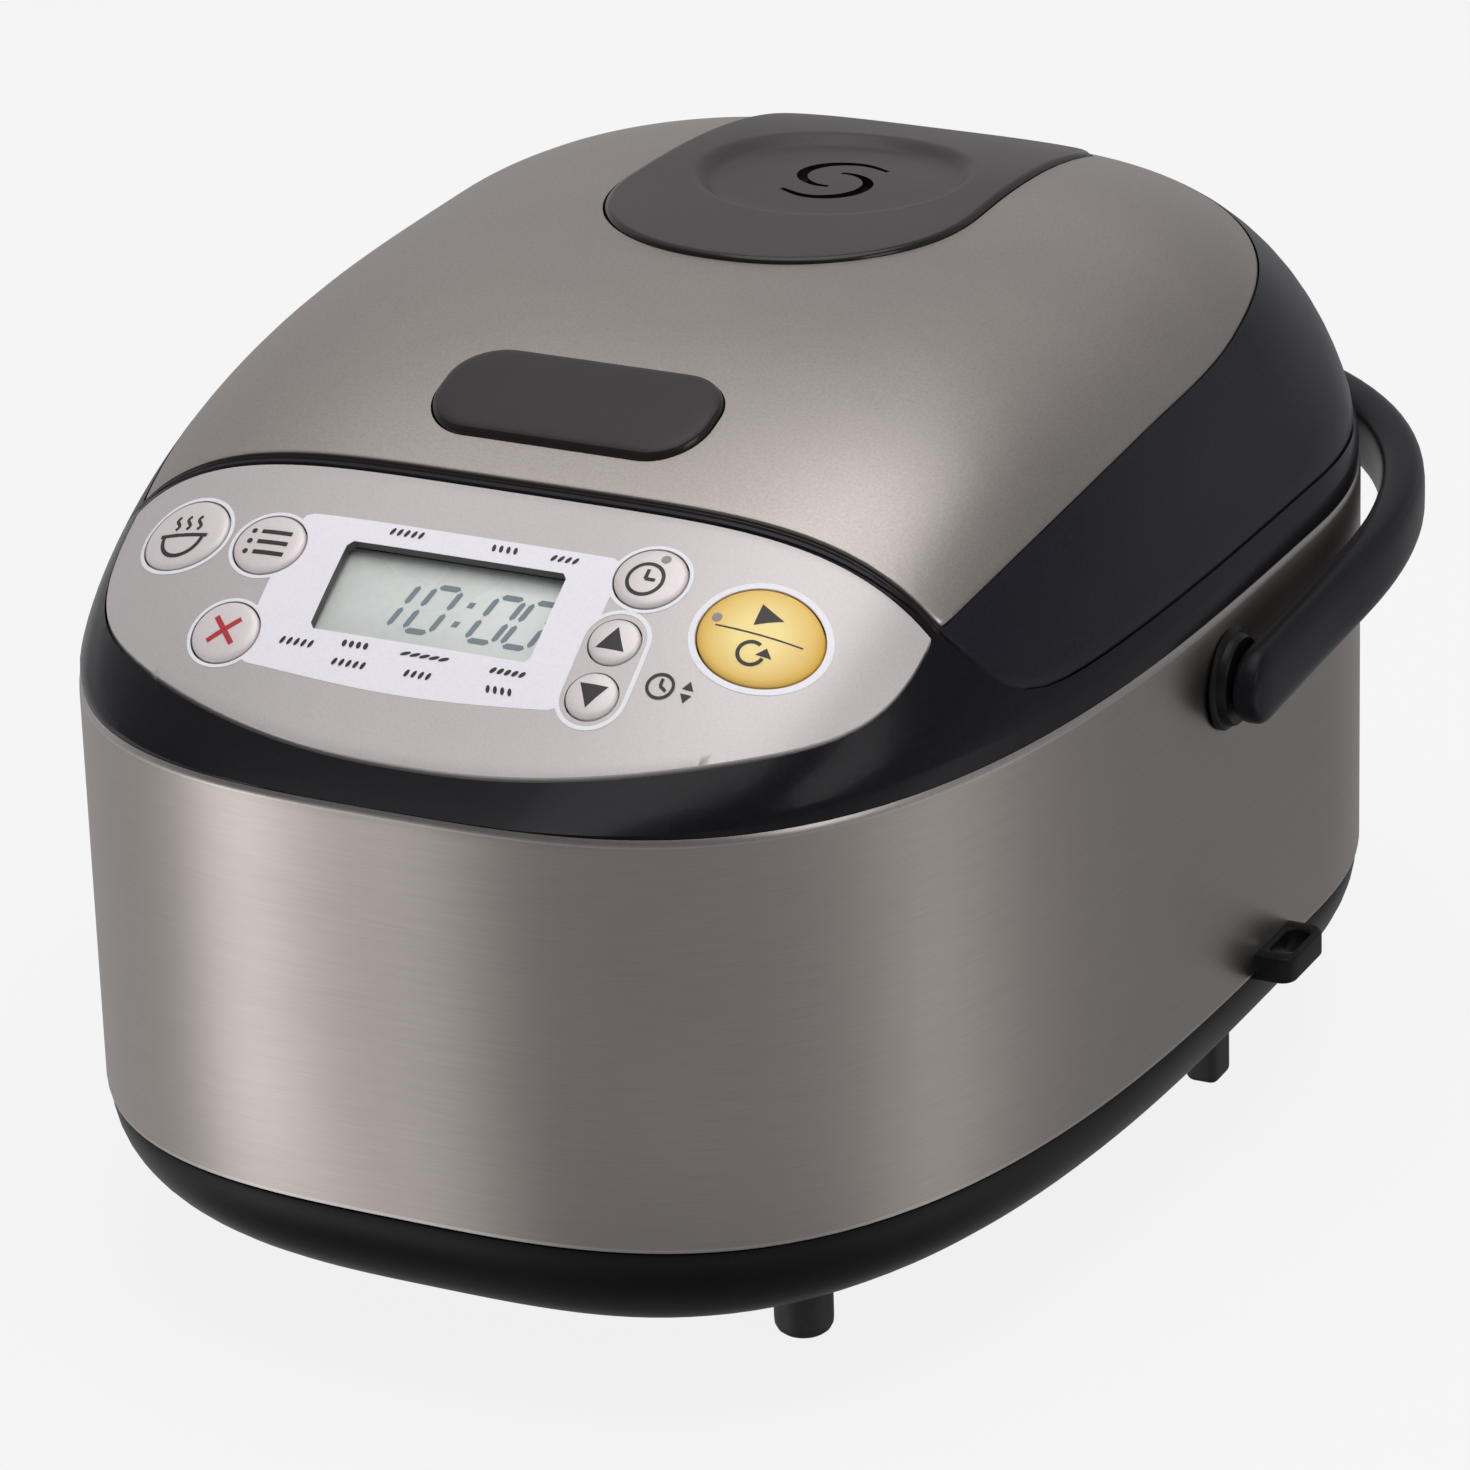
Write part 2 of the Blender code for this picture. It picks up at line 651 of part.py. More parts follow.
def display_ring(grow, lift, steps=5):
    """Points around the window, following the dome along x."""
    (x0, y0), (x1, _), (_, y1), _ = display_outline(grow)
    flat = [(x0 + (x1 - x0) * i / steps, y0) for i in range(steps)]
    flat += [(x1, y0 + (y1 - y0) * i / 3) for i in range(3)]
    flat += [(x1 - (x1 - x0) * i / steps, y1) for i in range(steps)]
    flat += [(x0, y1 - (y1 - y0) * i / 3) for i in range(3)]
    return [tuple(on_surface(x, y) + panel_normal() * lift) for x, y in flat]


def control_panel(silver):
    """Lens-shaped fascia with an opening for each key and for the display."""
    count = 23
    edge = []
    for i in range(count + 1):
        t = math.pi + math.pi * i / count
        c, s = math.cos(t), math.sin(t)
        r = (abs(c) ** PANEL_POWER + abs(s) ** PANEL_POWER) ** (-1 / PANEL_POWER)
        edge.append((PANEL_HALF * r * c, PANEL_Y - 0.3 + (PANEL_DEEP - 0.3) * r * s))
    panel = lens_body("control_panel", edge, -PANEL_THICK, 0.0, silver, rows=4)
    for name, x, y, a, b in keys():
        cut(panel, key_cutter("hole_" + name, x, y, a, b))
    centre = on_surface(-5.7, -113.2)
    cut(panel, loft("hole_display", [display_ring(GAP, -8), display_ring(GAP, 6)]))
    return panel


def display_window(clear):
    return loft("display_window", [display_ring(0, -1.5), display_ring(0, -0.1)], clear,
                start=tuple(on_surface(-5.7, -113.2) + panel_normal() * -1.5),
                end=tuple(on_surface(-5.7, -113.2) + panel_normal() * -0.1))


def slab(name, x, v, h, mat=None):
    """A box in the tilted frame of the panel: x across, v up the slope, h along the normal."""
    origin = Vector(PANEL_ORIGIN)
    points = [tuple(origin + Vector((a, 0, 0)) + panel_slope() * b + panel_normal() * c)
              for a in x for b in v for c in h]
    faces = [(0, 1, 3, 2), (4, 6, 7, 5), (0, 4, 5, 1), (2, 3, 7, 6), (0, 2, 6, 4), (1, 5, 7, 3)]
    return make(name, points, faces, mat)


def display_module(glass):
    """Liquid crystal cell and its frame, standing on the control board."""
    return slab("display_module", (-31.0, 19.6), (-11.2, 11.2), (-BOARD_DEPTH + 0.3, -4.2), glass)


def control_board(green):
    """Board parallel to the panel, with a switch under each key and a few parts on its back."""
    board = slab("control_board", (-68, 68), (-21.5, 11.5), (-BOARD_DEPTH - 1.6, -BOARD_DEPTH), green)
    origin = Vector(PANEL_ORIGIN)
    for name, x, y, a, b in keys():
        p = on_surface(x, y) - origin
        v = p.dot(panel_slope())
        add(board, slab("switch_" + name, (x - 2.2, x + 2.2), (v - 2.2, v + 1.4), (-BOARD_DEPTH - 0.8, -BOARD_DEPTH + 3.4)))
    add(board, slab("chip", (-22, -4), (-8, 6), (-BOARD_DEPTH - 4.2, -BOARD_DEPTH - 1.0)))
    add(board, slab("socket", (18, 42), (-14, -8), (-BOARD_DEPTH - 8.0, -BOARD_DEPTH - 1.0)))
    return board


def key(name, x, y, a, b, plastic):
    """Oval key with a crowned face, a skirt and a stem that stops just above its switch."""
    low = -BOARD_DEPTH + 3.4 + 0.8
    centre = on_surface(x, y)
    normal = panel_normal()
    top = centre + normal * 0.9
    foot = centre + normal * (low - board_height(centre))
    deep = min(5.0, board_height(centre) - low - 1.2)
    rings = [key_ring(x, y, a * 0.55, b * 0.55, 0.8), key_ring(x, y, a - 0.9, b - 0.9, 0.65),
             key_ring(x, y, a - 0.2, b - 0.2, 0.35), key_ring(x, y, a, b, -0.2), key_ring(x, y, a, b, -deep),
             key_ring(x, y, 2.4, 2.4, -deep), key_ring(x, y, 2.4, 2.4, low, follow=False)]
    body = loft(name, rings, plastic, start=tuple(top), end=tuple(foot))
    return set_origin(body, tuple(centre))


# =============================================================== lid
def lid_frame(dark):
    """Dark lid body: a thin dome with a recess for the skin, the cap opening and the button opening."""
    edge = lid_edge(0.0)
    recess = outline(lambda x, y: gauge_skin(x, y, -GAP, TRIM_FRONT_Y))
    keep = []
    for (ex, ey), (rx, ry) in zip(edge, recess):
        re, rr = math.hypot(ex, ey - Y_WIDEST), math.hypot(rx, ry - Y_WIDEST)
        share = min(rr, re - 0.8) / re
        keep.append((ex * share, Y_WIDEST + (ey - Y_WIDEST) * share))
    recess = keep
    centre = (0.0, Y_WIDEST)
    rings = [at(edge, Z_LID), on_dome(edge)]
    for share in (0.12, 0.5):
        rings.append(on_dome(between(edge, recess, share)))
    rings += [on_dome(recess), on_dome(recess, -RECESS)]
    for share in (0.07, 0.2, 0.45, 0.72):
        rings.append(on_dome([(x * (1 - share), centre[1] + (y - centre[1]) * (1 - share)) for x, y in recess],
                             -RECESS))
    top = (0.0, centre[1], dome(*centre) - RECESS)
    thick = RECESS + 2.2
    rings_in = []
    inner = lid_edge(-2.4)
    for share in (0.72, 0.45, 0.2, 0.07, 0.02):
        ring = [(x * (1 - share), centre[1] + (y - centre[1]) * (1 - share)) for x, y in inner]
        rings_in.append(on_dome(ring, -thick))
    rings_in.append([(x, y, min(dome(x, y) - 4.5, 160)) for x, y in inner])
    rings_in.append(at(inner, Z_LID))
    low = (0.0, centre[1], dome(*centre) - thick)
    frame = loft("lid_frame", rings[::-1] + rings_in[::-1], dark, start=top, end=low)
    cut(frame, prism("cap_hole", cap_outline(-0.4), 140, 200))
    cut(frame, prism("button_hole", button_outline(GAP), 140, 200))
    cut(frame, block("hinge_notch", (-35.2, 35.2), (123.5, 140), (125, 141.5)))
    for side in (-1, 1):
        x = sorted((side * 14.3, side * 23.9))
        add(frame, rod("lid_barrel", (x[0], HINGE_Y, HINGE_Z), (x[1], HINGE_Y, HINGE_Z), KNUCKLE_R))
        add(frame, block("lid_barrel_arm", (x[0] + 0.4, x[1] - 0.4), (125.4, 129.1), (134.8, 148.3)))
    cut(frame, rod("lid_pin_bore", (-50, HINGE_Y, HINGE_Z), (50, HINGE_Y, HINGE_Z), PIN_R + GAP, n=20))
    return frame


def cap_outline(inset, n=32):
    return outline(lambda x, y: cap_gauge(x, y, inset), (0.0, DISH_Y), angles=cap_angles(n))


def cap_angles(n=32):
    """Directions from the dish centre that include both rear corners."""
    corner = math.atan2(CAP_Y1 - DISH_Y, CAP_HALF - 2)
    marks = [(-math.pi / 2, 0), (corner, n * 3 // 8), (math.pi - corner, n * 5 // 8), (1.5 * math.pi, n)]
    out = []
    for (a0, i0), (a1, i1) in zip(marks, marks[1:]):
        out += [a0 + (a1 - a0) * (i - i0) / (i1 - i0) for i in range(i0, i1)]
    return out


def button_outline(grow):
    return rounded_rectangle(0.0, BUTTON_Y, BUTTON_HALF[0] + grow, BUTTON_HALF[1] + grow, BUTTON_CORNER + grow, 5)


def lid_skin(steel):
    """Satin steel plate over the top of the lid, open for the button and the steam cap."""
    centre = (0.0, Y_WIDEST)
    edge = outline(gauge_skin)
    grown = [1.0, 0.93, 0.8, 0.55, 0.28]

    def ring(share, lift):
        return on_dome([(x * share, centre[1] + (y - centre[1]) * share) for x, y in edge], lift)
    rings = [ring(s, 0.0) for s in grown[::-1]] + [ring(s, -SKIN_THICK) for s in grown]
    skin = loft("lid_skin", rings, steel, start=(0, centre[1], dome(*centre)),
                end=(0, centre[1], dome(*centre) - SKIN_THICK))
    cut(skin, prism("cap_hole_skin", cap_outline(-0.4), 140, 200))
    cut(skin, prism("button_hole_skin", button_outline(GAP), 140, 200))
    return skin


def lid_trim(brown):
    """Dark strip along the front edge of the skin."""
    count = 20
    y0, y1 = TRIM_FRONT_Y + GAP, SKIN_FRONT_Y - GAP
    half = 68.0
    rings = []
    for i in range(count + 1):
        x = -half + 2 * half * i / count
        rings.append([(x, y0, dome(x, y0) - 1.0), (x, y1, dome(x, y1) - 1.0), (x, y1, dome(x, y1) + 0.1),
                      (x, (y0 + y1) / 2, dome(x, (y0 + y1) / 2) + 0.35), (x, y0, dome(x, y0) + 0.1)])
    return loft("lid_trim", rings, brown)


def lid_button(brown):
    """Push button that releases the lid: a shallow cap with a bevelled edge."""
    outer = button_outline(0.0)

    def ring(grow, lift, z=None):
        points = rounded_rectangle(0.0, BUTTON_Y, BUTTON_HALF[0] + grow, BUTTON_HALF[1] + grow,
                                   BUTTON_CORNER + grow, 5)
        return [(x, y, z if z is not None else dome(x, y) + lift) for x, y in points]
    rings = [ring(-7.0, 1.5), ring(-2.2, 1.3), ring(0.0, 0.1), ring(0.0, 0, 152.0), ring(-1.8, 0, 152.0),
             ring(-1.8, -3.0), ring(-7.0, -1.6)]
    top, low = (0, BUTTON_Y, dome(0, BUTTON_Y) + 1.6), (0, BUTTON_Y, dome(0, BUTTON_Y) - 1.5)
    return set_origin(loft("lid_button", rings, brown, start=top, end=low), (0, BUTTON_Y, 152.0))


def latch_hook(white):
    """Sliding latch plate: its foot rests on the lid liner and its blade enters the slot of the deck."""
    hook = block("latch_hook", (-13, 13), (-84.6, -82.2), (122.0, 146.0), white)
    add(hook, block("latch_foot", (-13, 13), (-83.0, -70.5), (133.5, 135.3)))
    add(hook, block("latch_rib", (-2, 2), (-83.0, -76.0), (134.5, 140.6)))
    return set_origin(hook, (0, -83.4, 134.4))


def lid_liner(grey):
    """Plate that closes the lid from below, with a round pan for the inner lid."""
    edge = lid_edge(-2.9)
    top = [at(edge, 131.7), at(edge, 133.2), at(circle(93.2), 133.2), at(circle(92.4), 142.6)]
    low = [at(circle(90.9), 141.0), at(circle(91.6), 131.7)]
    liner = loft("lid_liner", top[::-1] + low[::-1], grey, start=(0, POT_Y, 142.6), end=(0, POT_Y, 141.0))
    cut(liner, rod("tube_hole", (0, DISH_Y, 130), (0, DISH_Y, 150), 7.4, n=24))
    cut(liner, block("liner_hinge", (-38, 38), (122.6, 140), (125, 145)))
    cut(liner, block("liner_latch", (-14.6, 14.6), (-90, -78.6), (125, 140)))
    add(liner, rod("spring_seat", (0, BUTTON_Y, 141.3), (0, BUTTON_Y, 146.0), 9.0, n=20))
    return liner


def button_spring(steel):
    return coil("button_spring", (0, BUTTON_Y), "Z", 6.0, 146.3, 161.0, 4, 0.6, steel, 9)


def inner_lid(metal):
    """Dished inner lid with a steam hole and a raised edge."""
    lid = lathe("inner_lid", [(0, 136.6), (30, 136.4), (70, 135.0), (76, 135.0), (80.0, 136.6), (80.0, 138.0),
                              (75.4, 136.4), (70, 136.4), (30, 137.8), (0, 138.0)], metal, (0, POT_Y), 28)
    cut(lid, rod("steam_hole", (0, DISH_Y, 130), (0, DISH_Y, 145), 4.6, n=16))
    for side in (-1, 1):
        cut(lid, rod("vent_hole", (side * 12, DISH_Y, 130), (side * 12, DISH_Y, 145), 2.2, n=8))
    return lid


def inner_lid_gasket(rubber):
    return lathe("inner_lid_gasket", [(81.1, 134.6), (84.2, 133.0), (87.6, 133.4), (87.6, 135.2), (84.6, 135.8),
                                      (84.2, 140.6), (81.1, 140.6)], rubber, (0, POT_Y), 28, closed=True)


def lid_heater(foil):
    return lathe("lid_heater", [(42, 142.9), (76, 142.9), (76, 144.4), (42, 144.4)], foil, (0, POT_Y), 28, closed=True)


def lid_sensor(steel):
    return lathe("lid_sensor", [(0, 142.9), (6.5, 142.9), (6.5, 144.4), (4.0, 144.4), (4.0, 149.5), (0, 149.5)],
                 steel, (26, 12), 18)


def steam_well(white):
    """Cup under the cap opening, with the tube that brings steam up from the inner lid."""
    inside, outside = cap_outline(-0.4), cap_outline(-1.9)

    def low_dome(points, lift):
        return [(x, y, dome(x, y) + lift) for x, y in points]
    rings = [at(inside, Z_WELL), low_dome(inside, -6.4), low_dome(outside, -6.4), at(outside, Z_WELL - 1.6)]
    well = loft("steam_well", rings, white, start=(0, DISH_Y, Z_WELL), end=(0, DISH_Y, Z_WELL - 1.6))
    add(well, rod("steam_tube", (0, DISH_Y, 139.4), (0, DISH_Y, Z_WELL + 0.6), 7.0, n=24))
    cut(well, rod("steam_bore", (0, DISH_Y, 130), (0, DISH_Y, 180), 5.2, n=20))
    return well


def dish_height(x, y):
    """Top of the steam cap: the dome with a round dish pressed into it."""
    r = math.hypot(x, y - DISH_Y)
    share = min(1.0, max(0.0, (DISH_R - r) / 7.0))
    share = share * share * (3 - 2 * share)
    return dome(x, y) + 0.8 - 2.6 * share


def steam_cap(brown):
    """Lift-off cap: a D-shaped cover with a round dish and two curved vents."""
    angles = cap_angles()

    def circle_ring(radius, drop):
        points = [(radius * math.cos(a), DISH_Y + radius * math.sin(a)) for a in angles]
        return [(x, y, dish_height(x, y) - drop) for x, y in points]
    inner_line, edge, hollow = cap_outline(1.3), cap_outline(0.0), cap_outline(1.8)
    rings = [circle_ring(16.8, 0), circle_ring(20.5, 0), circle_ring(24, 0),
             [(x, y, dish_height(x, y)) for x, y in inner_line], on_dome(edge, 0.1), at(edge, Z_WELL + 0.3),
             at(hollow, Z_WELL + 0.3), on_dome(hollow, -2.2), circle_ring(24, 3.0), circle_ring(16.8, 2.2)]
    mid = dish_height(0, DISH_Y)
    cap = loft("steam_cap", rings, brown, start=(0, DISH_Y, mid), end=(0, DISH_Y, mid - 2.2))
    for side in (-1, 1):
        cut(cap, hook_slot("vent_slot", side))
    return set_origin(cap, (0, DISH_Y, Z_WELL))


def hook_slot(name, side, width=2.8, low=160.0, high=190.0):
    """A hook-shaped vent: an arc that ends in a short straight tail."""
    path = []
    for k in range(6):
        a = math.radians(200 - 40 * k)
        path.append((side * (1.5 + 7.0 * math.cos(a)), DISH_Y + side * (5.0 + 6.0 * math.sin(a))))
    left, right = [], []
    for i, (x, y) in enumerate(path):
        x0, y0 = path[max(i - 1, 0)]
        x1, y1 = path[min(i + 1, len(path) - 1)]
        d = math.hypot(x1 - x0, y1 - y0)
        nx, ny = -(y1 - y0) / d * width / 2, (x1 - x0) / d * width / 2
        left.append((x + nx, y + ny))
        right.append((x - nx, y - ny))
    return prism(name, left + right[::-1], low, high)


def hinge_pin(steel):
    return rod("hinge_pin", (-35.0, HINGE_Y, HINGE_Z), (35.0, HINGE_Y, HINGE_Z), PIN_R, steel, 20)


def hinge_spring(steel):
    """Torsion coil around the middle of the hinge pin."""
    return coil("hinge_spring", (HINGE_Y, HINGE_Z), "X", 3.2, -12.5, 12.5, 6, 0.6, steel, 8)


# =============================================================== pot and heating
def inner_pot(dark):
    """Lift-out pot with a rolled rim."""
    r, w, z = POT_R, POT_WALL, POT_BOTTOM
    profile = [(0, z), (58, z), (69, z + 2.6), (76.5, z + 8.6), (r, z + 19), (r, POT_RIM_Z), (POT_RIM_R, POT_RIM_Z),
               (POT_RIM_R, POT_RIM_Z + 1.3), (r - w + 0.4, POT_RIM_Z + 1.3), (r - w, POT_RIM_Z), (r - w, z + 19.4),
               (75.2, z + 9.8), (68.3, z + 4.1), (57.8, z + w), (0, z + w)]
    return lathe("inner_pot", profile, dark, (0, POT_Y), 32)


def collar_ring(steel):
    """Bright ring around the pot opening that carries the rim of the pot."""
    return lathe("collar_ring", [(84.0, 120.0), (85.3, 120.0), (85.3, 129.8), (94.0, 129.8), (94.0, 131.0),
                                 (84.0, 131.0)], steel, (0, POT_Y), 28, closed=True)


def inner_liner(metal):
    """Heat guard cup around the pot, open in the middle of its floor for the sensor."""
    r = LINER_R
    return lathe("inner_liner", [(22.5, 30.0), (r - 3, 30.0), (r, 33.0), (r, 128.6), (r - 0.8, 128.6), (r - 0.8, 33.4),
                                 (r - 3.4, 31.0), (22.5, 31.0)], metal, (0, POT_Y), 28, closed=True)


def heating_plate(metal):
    """Cast plate with a ring groove for its element and three short feet."""
    plate = lathe("heating_plate", [(20.0, 38.0), (44, 38.0), (46, 35.2), (56, 35.2), (58, 38.0), (73, 38.0),
                                    (75, 40.0), (75, 45.0), (66, 45.6), (20.0, 45.6)], metal, (0, POT_Y), 28, closed=True)
    for k in range(3):
        a = math.radians(30 + 120 * k)
        x, y = 68 * math.cos(a), POT_Y + 68 * math.sin(a)
        add(plate, rod("plate_foot", (x, y, 31.3), (x, y, 39), 3.5, n=12))
    return plate


def side_heater(silicone):
    return lathe("side_heater", [(84.0, 76), (86.4, 76), (86.4, 96), (84.0, 96)], silicone, (0, POT_Y), 28, closed=True)


def centre_sensor(metal):
    """Sprung temperature sensor that touches the bottom of the pot."""
    sensor = lathe("centre_sensor", [(0, 26.5), (5.2, 26.5), (5.2, 35.0), (12, 35.0), (12, 40.0), (17.5, 40.0),
                                     (17.5, 44.8), (16.6, 45.7), (0, 45.7)], metal, (0, POT_Y), 28)
    return set_origin(sensor, (0, POT_Y, 35.0))


def sensor_spring(steel):
    return coil("sensor_spring", (0, POT_Y), "Z", 9.0, 24.5, 34.7, 3, 0.65, steel, 10)


def sensor_bracket(steel):
    """Cup under the liner that holds the sensor spring."""
    return lathe("sensor_bracket", [(7.5, 22.6), (20, 22.6), (20, 28.5), (28, 28.5), (28, 29.7), (18.8, 29.7),
                                    (18.8, 24.2), (7.5, 24.2)], steel, (0, POT_Y), 28, closed=True)


def thermal_fuse(white):
    fuse = rod("thermal_fuse", (46, 16, 27.0), (46, 36, 27.0), 2.7, white, 14)
    return add(fuse, block("fuse_strap", (42, 50), (24, 28), (28.6, 29.7)))


def power_board(green):
    """Supply board with its transformer, relay, capacitor and terminal block."""
    board = block("power_board", (-52, 52), (-128, -68), (28.0, 29.6), green)
    add(board, block("transformer", (-44, -12), (-116, -84), (29.0, 58)))
    add(board, block("relay", (0, 20), (-112, -96), (29.0, 46)))
    add(board, rod("capacitor", (34, -104, 29.0), (34, -104, 50), 6.5, n=16))
    add(board, block("terminals", (2, 44), (-82, -74), (29.0, 40)))
    return board


# =============================================================== inlet and handle
def inlet_socket(black):
    """Recessed power inlet with a flange against the back of the shell."""
    socket = block("inlet_socket", (-16, 16), (117.5, 136.0), (51, 73), black)
    add(socket, block("inlet_flange", (-20, 20), (135.1, 137.3), (47, 77)))
    return cut(socket, block("inlet_cavity", (-12.5, 12.5), (120, 140), (54.5, 69.5)))


def inlet_terminals(brass):
    """Two blades on one carrier at the floor of the inlet."""
    blades = block("inlet_terminals", (-10, 10), (120.3, 122.3), (58, 66), brass)
    for side in (-1, 1):
        add(blades, block("blade", sorted((side * 4.0, side * 6.0)), (121.5, 131.0), (59.0, 65.0)))
    return blades


def handle_boss(side, black):
    """Bearing for the handle, pressed through the side of the shell."""
    x0, x1 = side * 101.5, side * 106.4
    boss = rod("handle_boss_%s" % ("l" if side < 0 else "r"), (x0, PIVOT_Y, PIVOT_Z), (x1, PIVOT_Y, PIVOT_Z), 8.0,
               black, 24)
    add(boss, rod("boss_flange", (side * 106.2, PIVOT_Y, PIVOT_Z), (side * 108.5, PIVOT_Y, PIVOT_Z), 10.4, n=28))
    return cut(boss, rod("boss_bore", (side * 95, PIVOT_Y, PIVOT_Z), (side * 115, PIVOT_Y, PIVOT_Z), 3.3, n=16))


def handle_pin(side, steel):
    """Shouldered pin that the handle turns on."""
    name = "handle_pin_%s" % ("l" if side < 0 else "r")
    return rod(name, (side * 98.5, PIVOT_Y, PIVOT_Z), (side * 113.6, PIVOT_Y, PIVOT_Z), 3.0, steel, 16)


def handle(black):
    """U-shaped carrying handle, folded back around the rear of the body."""
    path = []
    for y in (PIVOT_Y - 8.2, PIVOT_Y - 6.6, PIVOT_Y - 3.0, PIVOT_Y + 4.0, 20.0, Y_WIDEST):
        path.append((ARM_X, y))
    for k in range(1, 11):
        t = math.pi / 2 * k / 10
        c, s = math.cos(t), math.sin(t)
        g = (c ** 2.5 + s ** 2.5) ** (-1 / 2.5)
        path.append((ARM_X * g * c, Y_WIDEST + (CROSS_Y - Y_WIDEST) * g * s))
    path += [(-x, y) for x, y in path[-2::-1]]
    half = len(path) // 2
    rings = []
    for i, (x, y) in enumerate(path):
        x0, y0 = path[max(i - 1, 0)]
        x1, y1 = path[min(i + 1, len(path) - 1)]
        d = math.hypot(x1 - x0, y1 - y0)
        out = ((y1 - y0) / d, -(x1 - x0) / d)
        share = min(1.0, max(0.0, (y - PIVOT_Y) / (CROSS_Y - PIVOT_Y)))
        thick = ARM_THICK + (CROSS_THICK - ARM_THICK) * min(1.0, share / 0.6) ** 2
        z = PIVOT_Z + (CROSS_Z - PIVOT_Z) * share
        ahead = max(0.0, PIVOT_Y - y)
        tall = ARM_TALL * math.sqrt(max(0.0, 1 - (ahead / 8.3) ** 2)) if ahead else ARM_TALL - 1.0 * share
        hx, hz, c = thick / 2, tall / 2, min(2.4, tall / 2 - 0.4)
        shape = [(hx, hz - c), (hx - 0.8, hz - 0.7), (hx - c, hz), (-hx + 1.2, hz), (-hx, hz - 1.2), (-hx, -hz + 1.2),
                 (-hx + 1.2, -hz), (hx - c, -hz), (hx - 0.8, -hz + 0.7), (hx, -hz + c)]
        rings.append([(x + out[0] * a, y + out[1] * a, z + b) for a, b in shape])
    bar = loft("handle", rings, black)
    for side in (-1, 1):
        cut(bar, rod("pin_hole", (side * 100, PIVOT_Y, PIVOT_Z), (side * 113.9, PIVOT_Y, PIVOT_Z), 3.3, n=16))
    return set_origin(bar, (0, PIVOT_Y, PIVOT_Z))


# =============================================================== assembly
def clear_scene():
    for obj in list(bpy.data.objects):
        bpy.data.objects.remove(obj, do_unlink=True)


def hang_on(axis_name, point, names):
    """Parents pieces to an empty that stands on their joint axis."""
    empty = bpy.data.objects.new(axis_name, None)
    bpy.context.scene.collection.objects.link(empty)
    empty.location = Vector(point) * MM
    for name in names:
        obj = bpy.data.objects[name]
        obj.parent = empty
        obj.matrix_parent_inverse = Matrix.Translation(-empty.location)


def build():
    clear_scene()
    brushed = material("brushed_steel", (0.42, 0.39, 0.36), 0.34, 1.0)
    satin = material("satin_steel", (0.50, 0.47, 0.44), 0.38, 1.0)
    gloss = material("gloss_black", (0.012, 0.011, 0.013), 0.16)
    dark = material("satin_dark", (0.022, 0.022, 0.028), 0.34)
    base_black = material("base_black", (0.014, 0.014, 0.015), 0.42)
    handle_black = material("handle_black", (0.018, 0.018, 0.021), 0.38)
    rubber = material("black_rubber", (0.02, 0.02, 0.02), 0.75)
    brown = material("brown_plastic", (0.055, 0.047, 0.048), 0.40)
    trim = material("trim_brown", (0.030, 0.022, 0.020), 0.25)
    silver = material("panel_silver", (0.56, 0.52, 0.52), 0.36, 0.35)
    key_silver = material("key_silver", (0.52, 0.49, 0.49), 0.38, 0.2)
    key_yellow = material("key_yellow", (0.85, 0.60, 0.10), 0.35)
    window = material("display_window", (0.60, 0.66, 0.60), 0.12)
    glass = material("display_glass", (0.30, 0.34, 0.30), 0.25)
    board_green = material("board_green", (0.03, 0.16, 0.07), 0.5)
    zinc = material("zinc_steel", (0.55, 0.55, 0.54), 0.42, 1.0)
    spring = material("spring_steel", (0.45, 0.45, 0.46), 0.3, 1.0)
    grey = material("grey_plastic", (0.36, 0.36, 0.36), 0.5)
    white = material("white_plastic", (0.70, 0.70, 0.68), 0.45)
    aluminium = material("aluminium", (0.66, 0.66, 0.67), 0.4, 1.0)
    nonstick = material("nonstick_dark", (0.05, 0.05, 0.055), 0.35, 0.3)
    silicone = material("silicone_grey", (0.42, 0.42, 0.43), 0.6)
    foil = material("foil_heater", (0.55, 0.55, 0.57), 0.35, 1.0)
    brass = material("nickel_brass", (0.70, 0.64, 0.50), 0.3, 1.0)

    outer_shell(brushed)
    base_housing(base_black)
    bottom_cover(zinc)
    for k, (x, y) in enumerate(screw_places()):
        cover_screw(k + 1, x, y, zinc)
    for side in (-1, 1):
        front_foot(side, rubber)
        rear_foot(side, rubber)
        handle_boss(side, base_black)
        handle_pin(side, zinc)
    spatula_loop(base_black)
    upper_frame(gloss)
    control_panel(silver)
    display_window(window)
    display_module(glass)
    control_board(board_green)
    for name, x, y, a, b in keys():
        key(name, x, y, a, b, key_yellow if name == "key_start" else key_silver)
    lid_frame(dark)
    lid_skin(satin)
    lid_trim(trim)
    lid_button(brown)
    latch_hook(white)
    lid_liner(grey)
    button_spring(spring)
    inner_lid(aluminium)
    inner_lid_gasket(silicone)
    lid_heater(foil)
    lid_sensor(zinc)
    steam_well(white)
    steam_cap(brown)
    hinge_pin(zinc)
    hinge_spring(spring)
    inner_pot(nonstick)
    collar_ring(satin)
    inner_liner(aluminium)
    heating_plate(aluminium)
    side_heater(silicone)
    centre_sensor(aluminium)
    sensor_spring(spring)
    sensor_bracket(zinc)
    thermal_fuse(white)
    power_board(board_green)
    inlet_socket(base_black)
    inlet_terminals(brass)
    handle(handle_black)
    hang_on("lid_axis", (0, HINGE_Y, HINGE_Z),
            ("lid_frame", "lid_skin", "lid_trim", "lid_button", "latch_hook", "lid_liner", "button_spring",
             "inner_lid", "inner_lid_gasket", "lid_heater", "lid_sensor", "steam_well", "steam_cap"))


build()
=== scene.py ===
# %% [markdown]
# # Rice cooker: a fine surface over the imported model
#
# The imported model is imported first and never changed. Its hidden works keep their own meshes and
# get new materials. Every piece that shows gets a finer mesh, made from the same outlines and the
# same dome, that rides on the same body and so moves with the same joint.

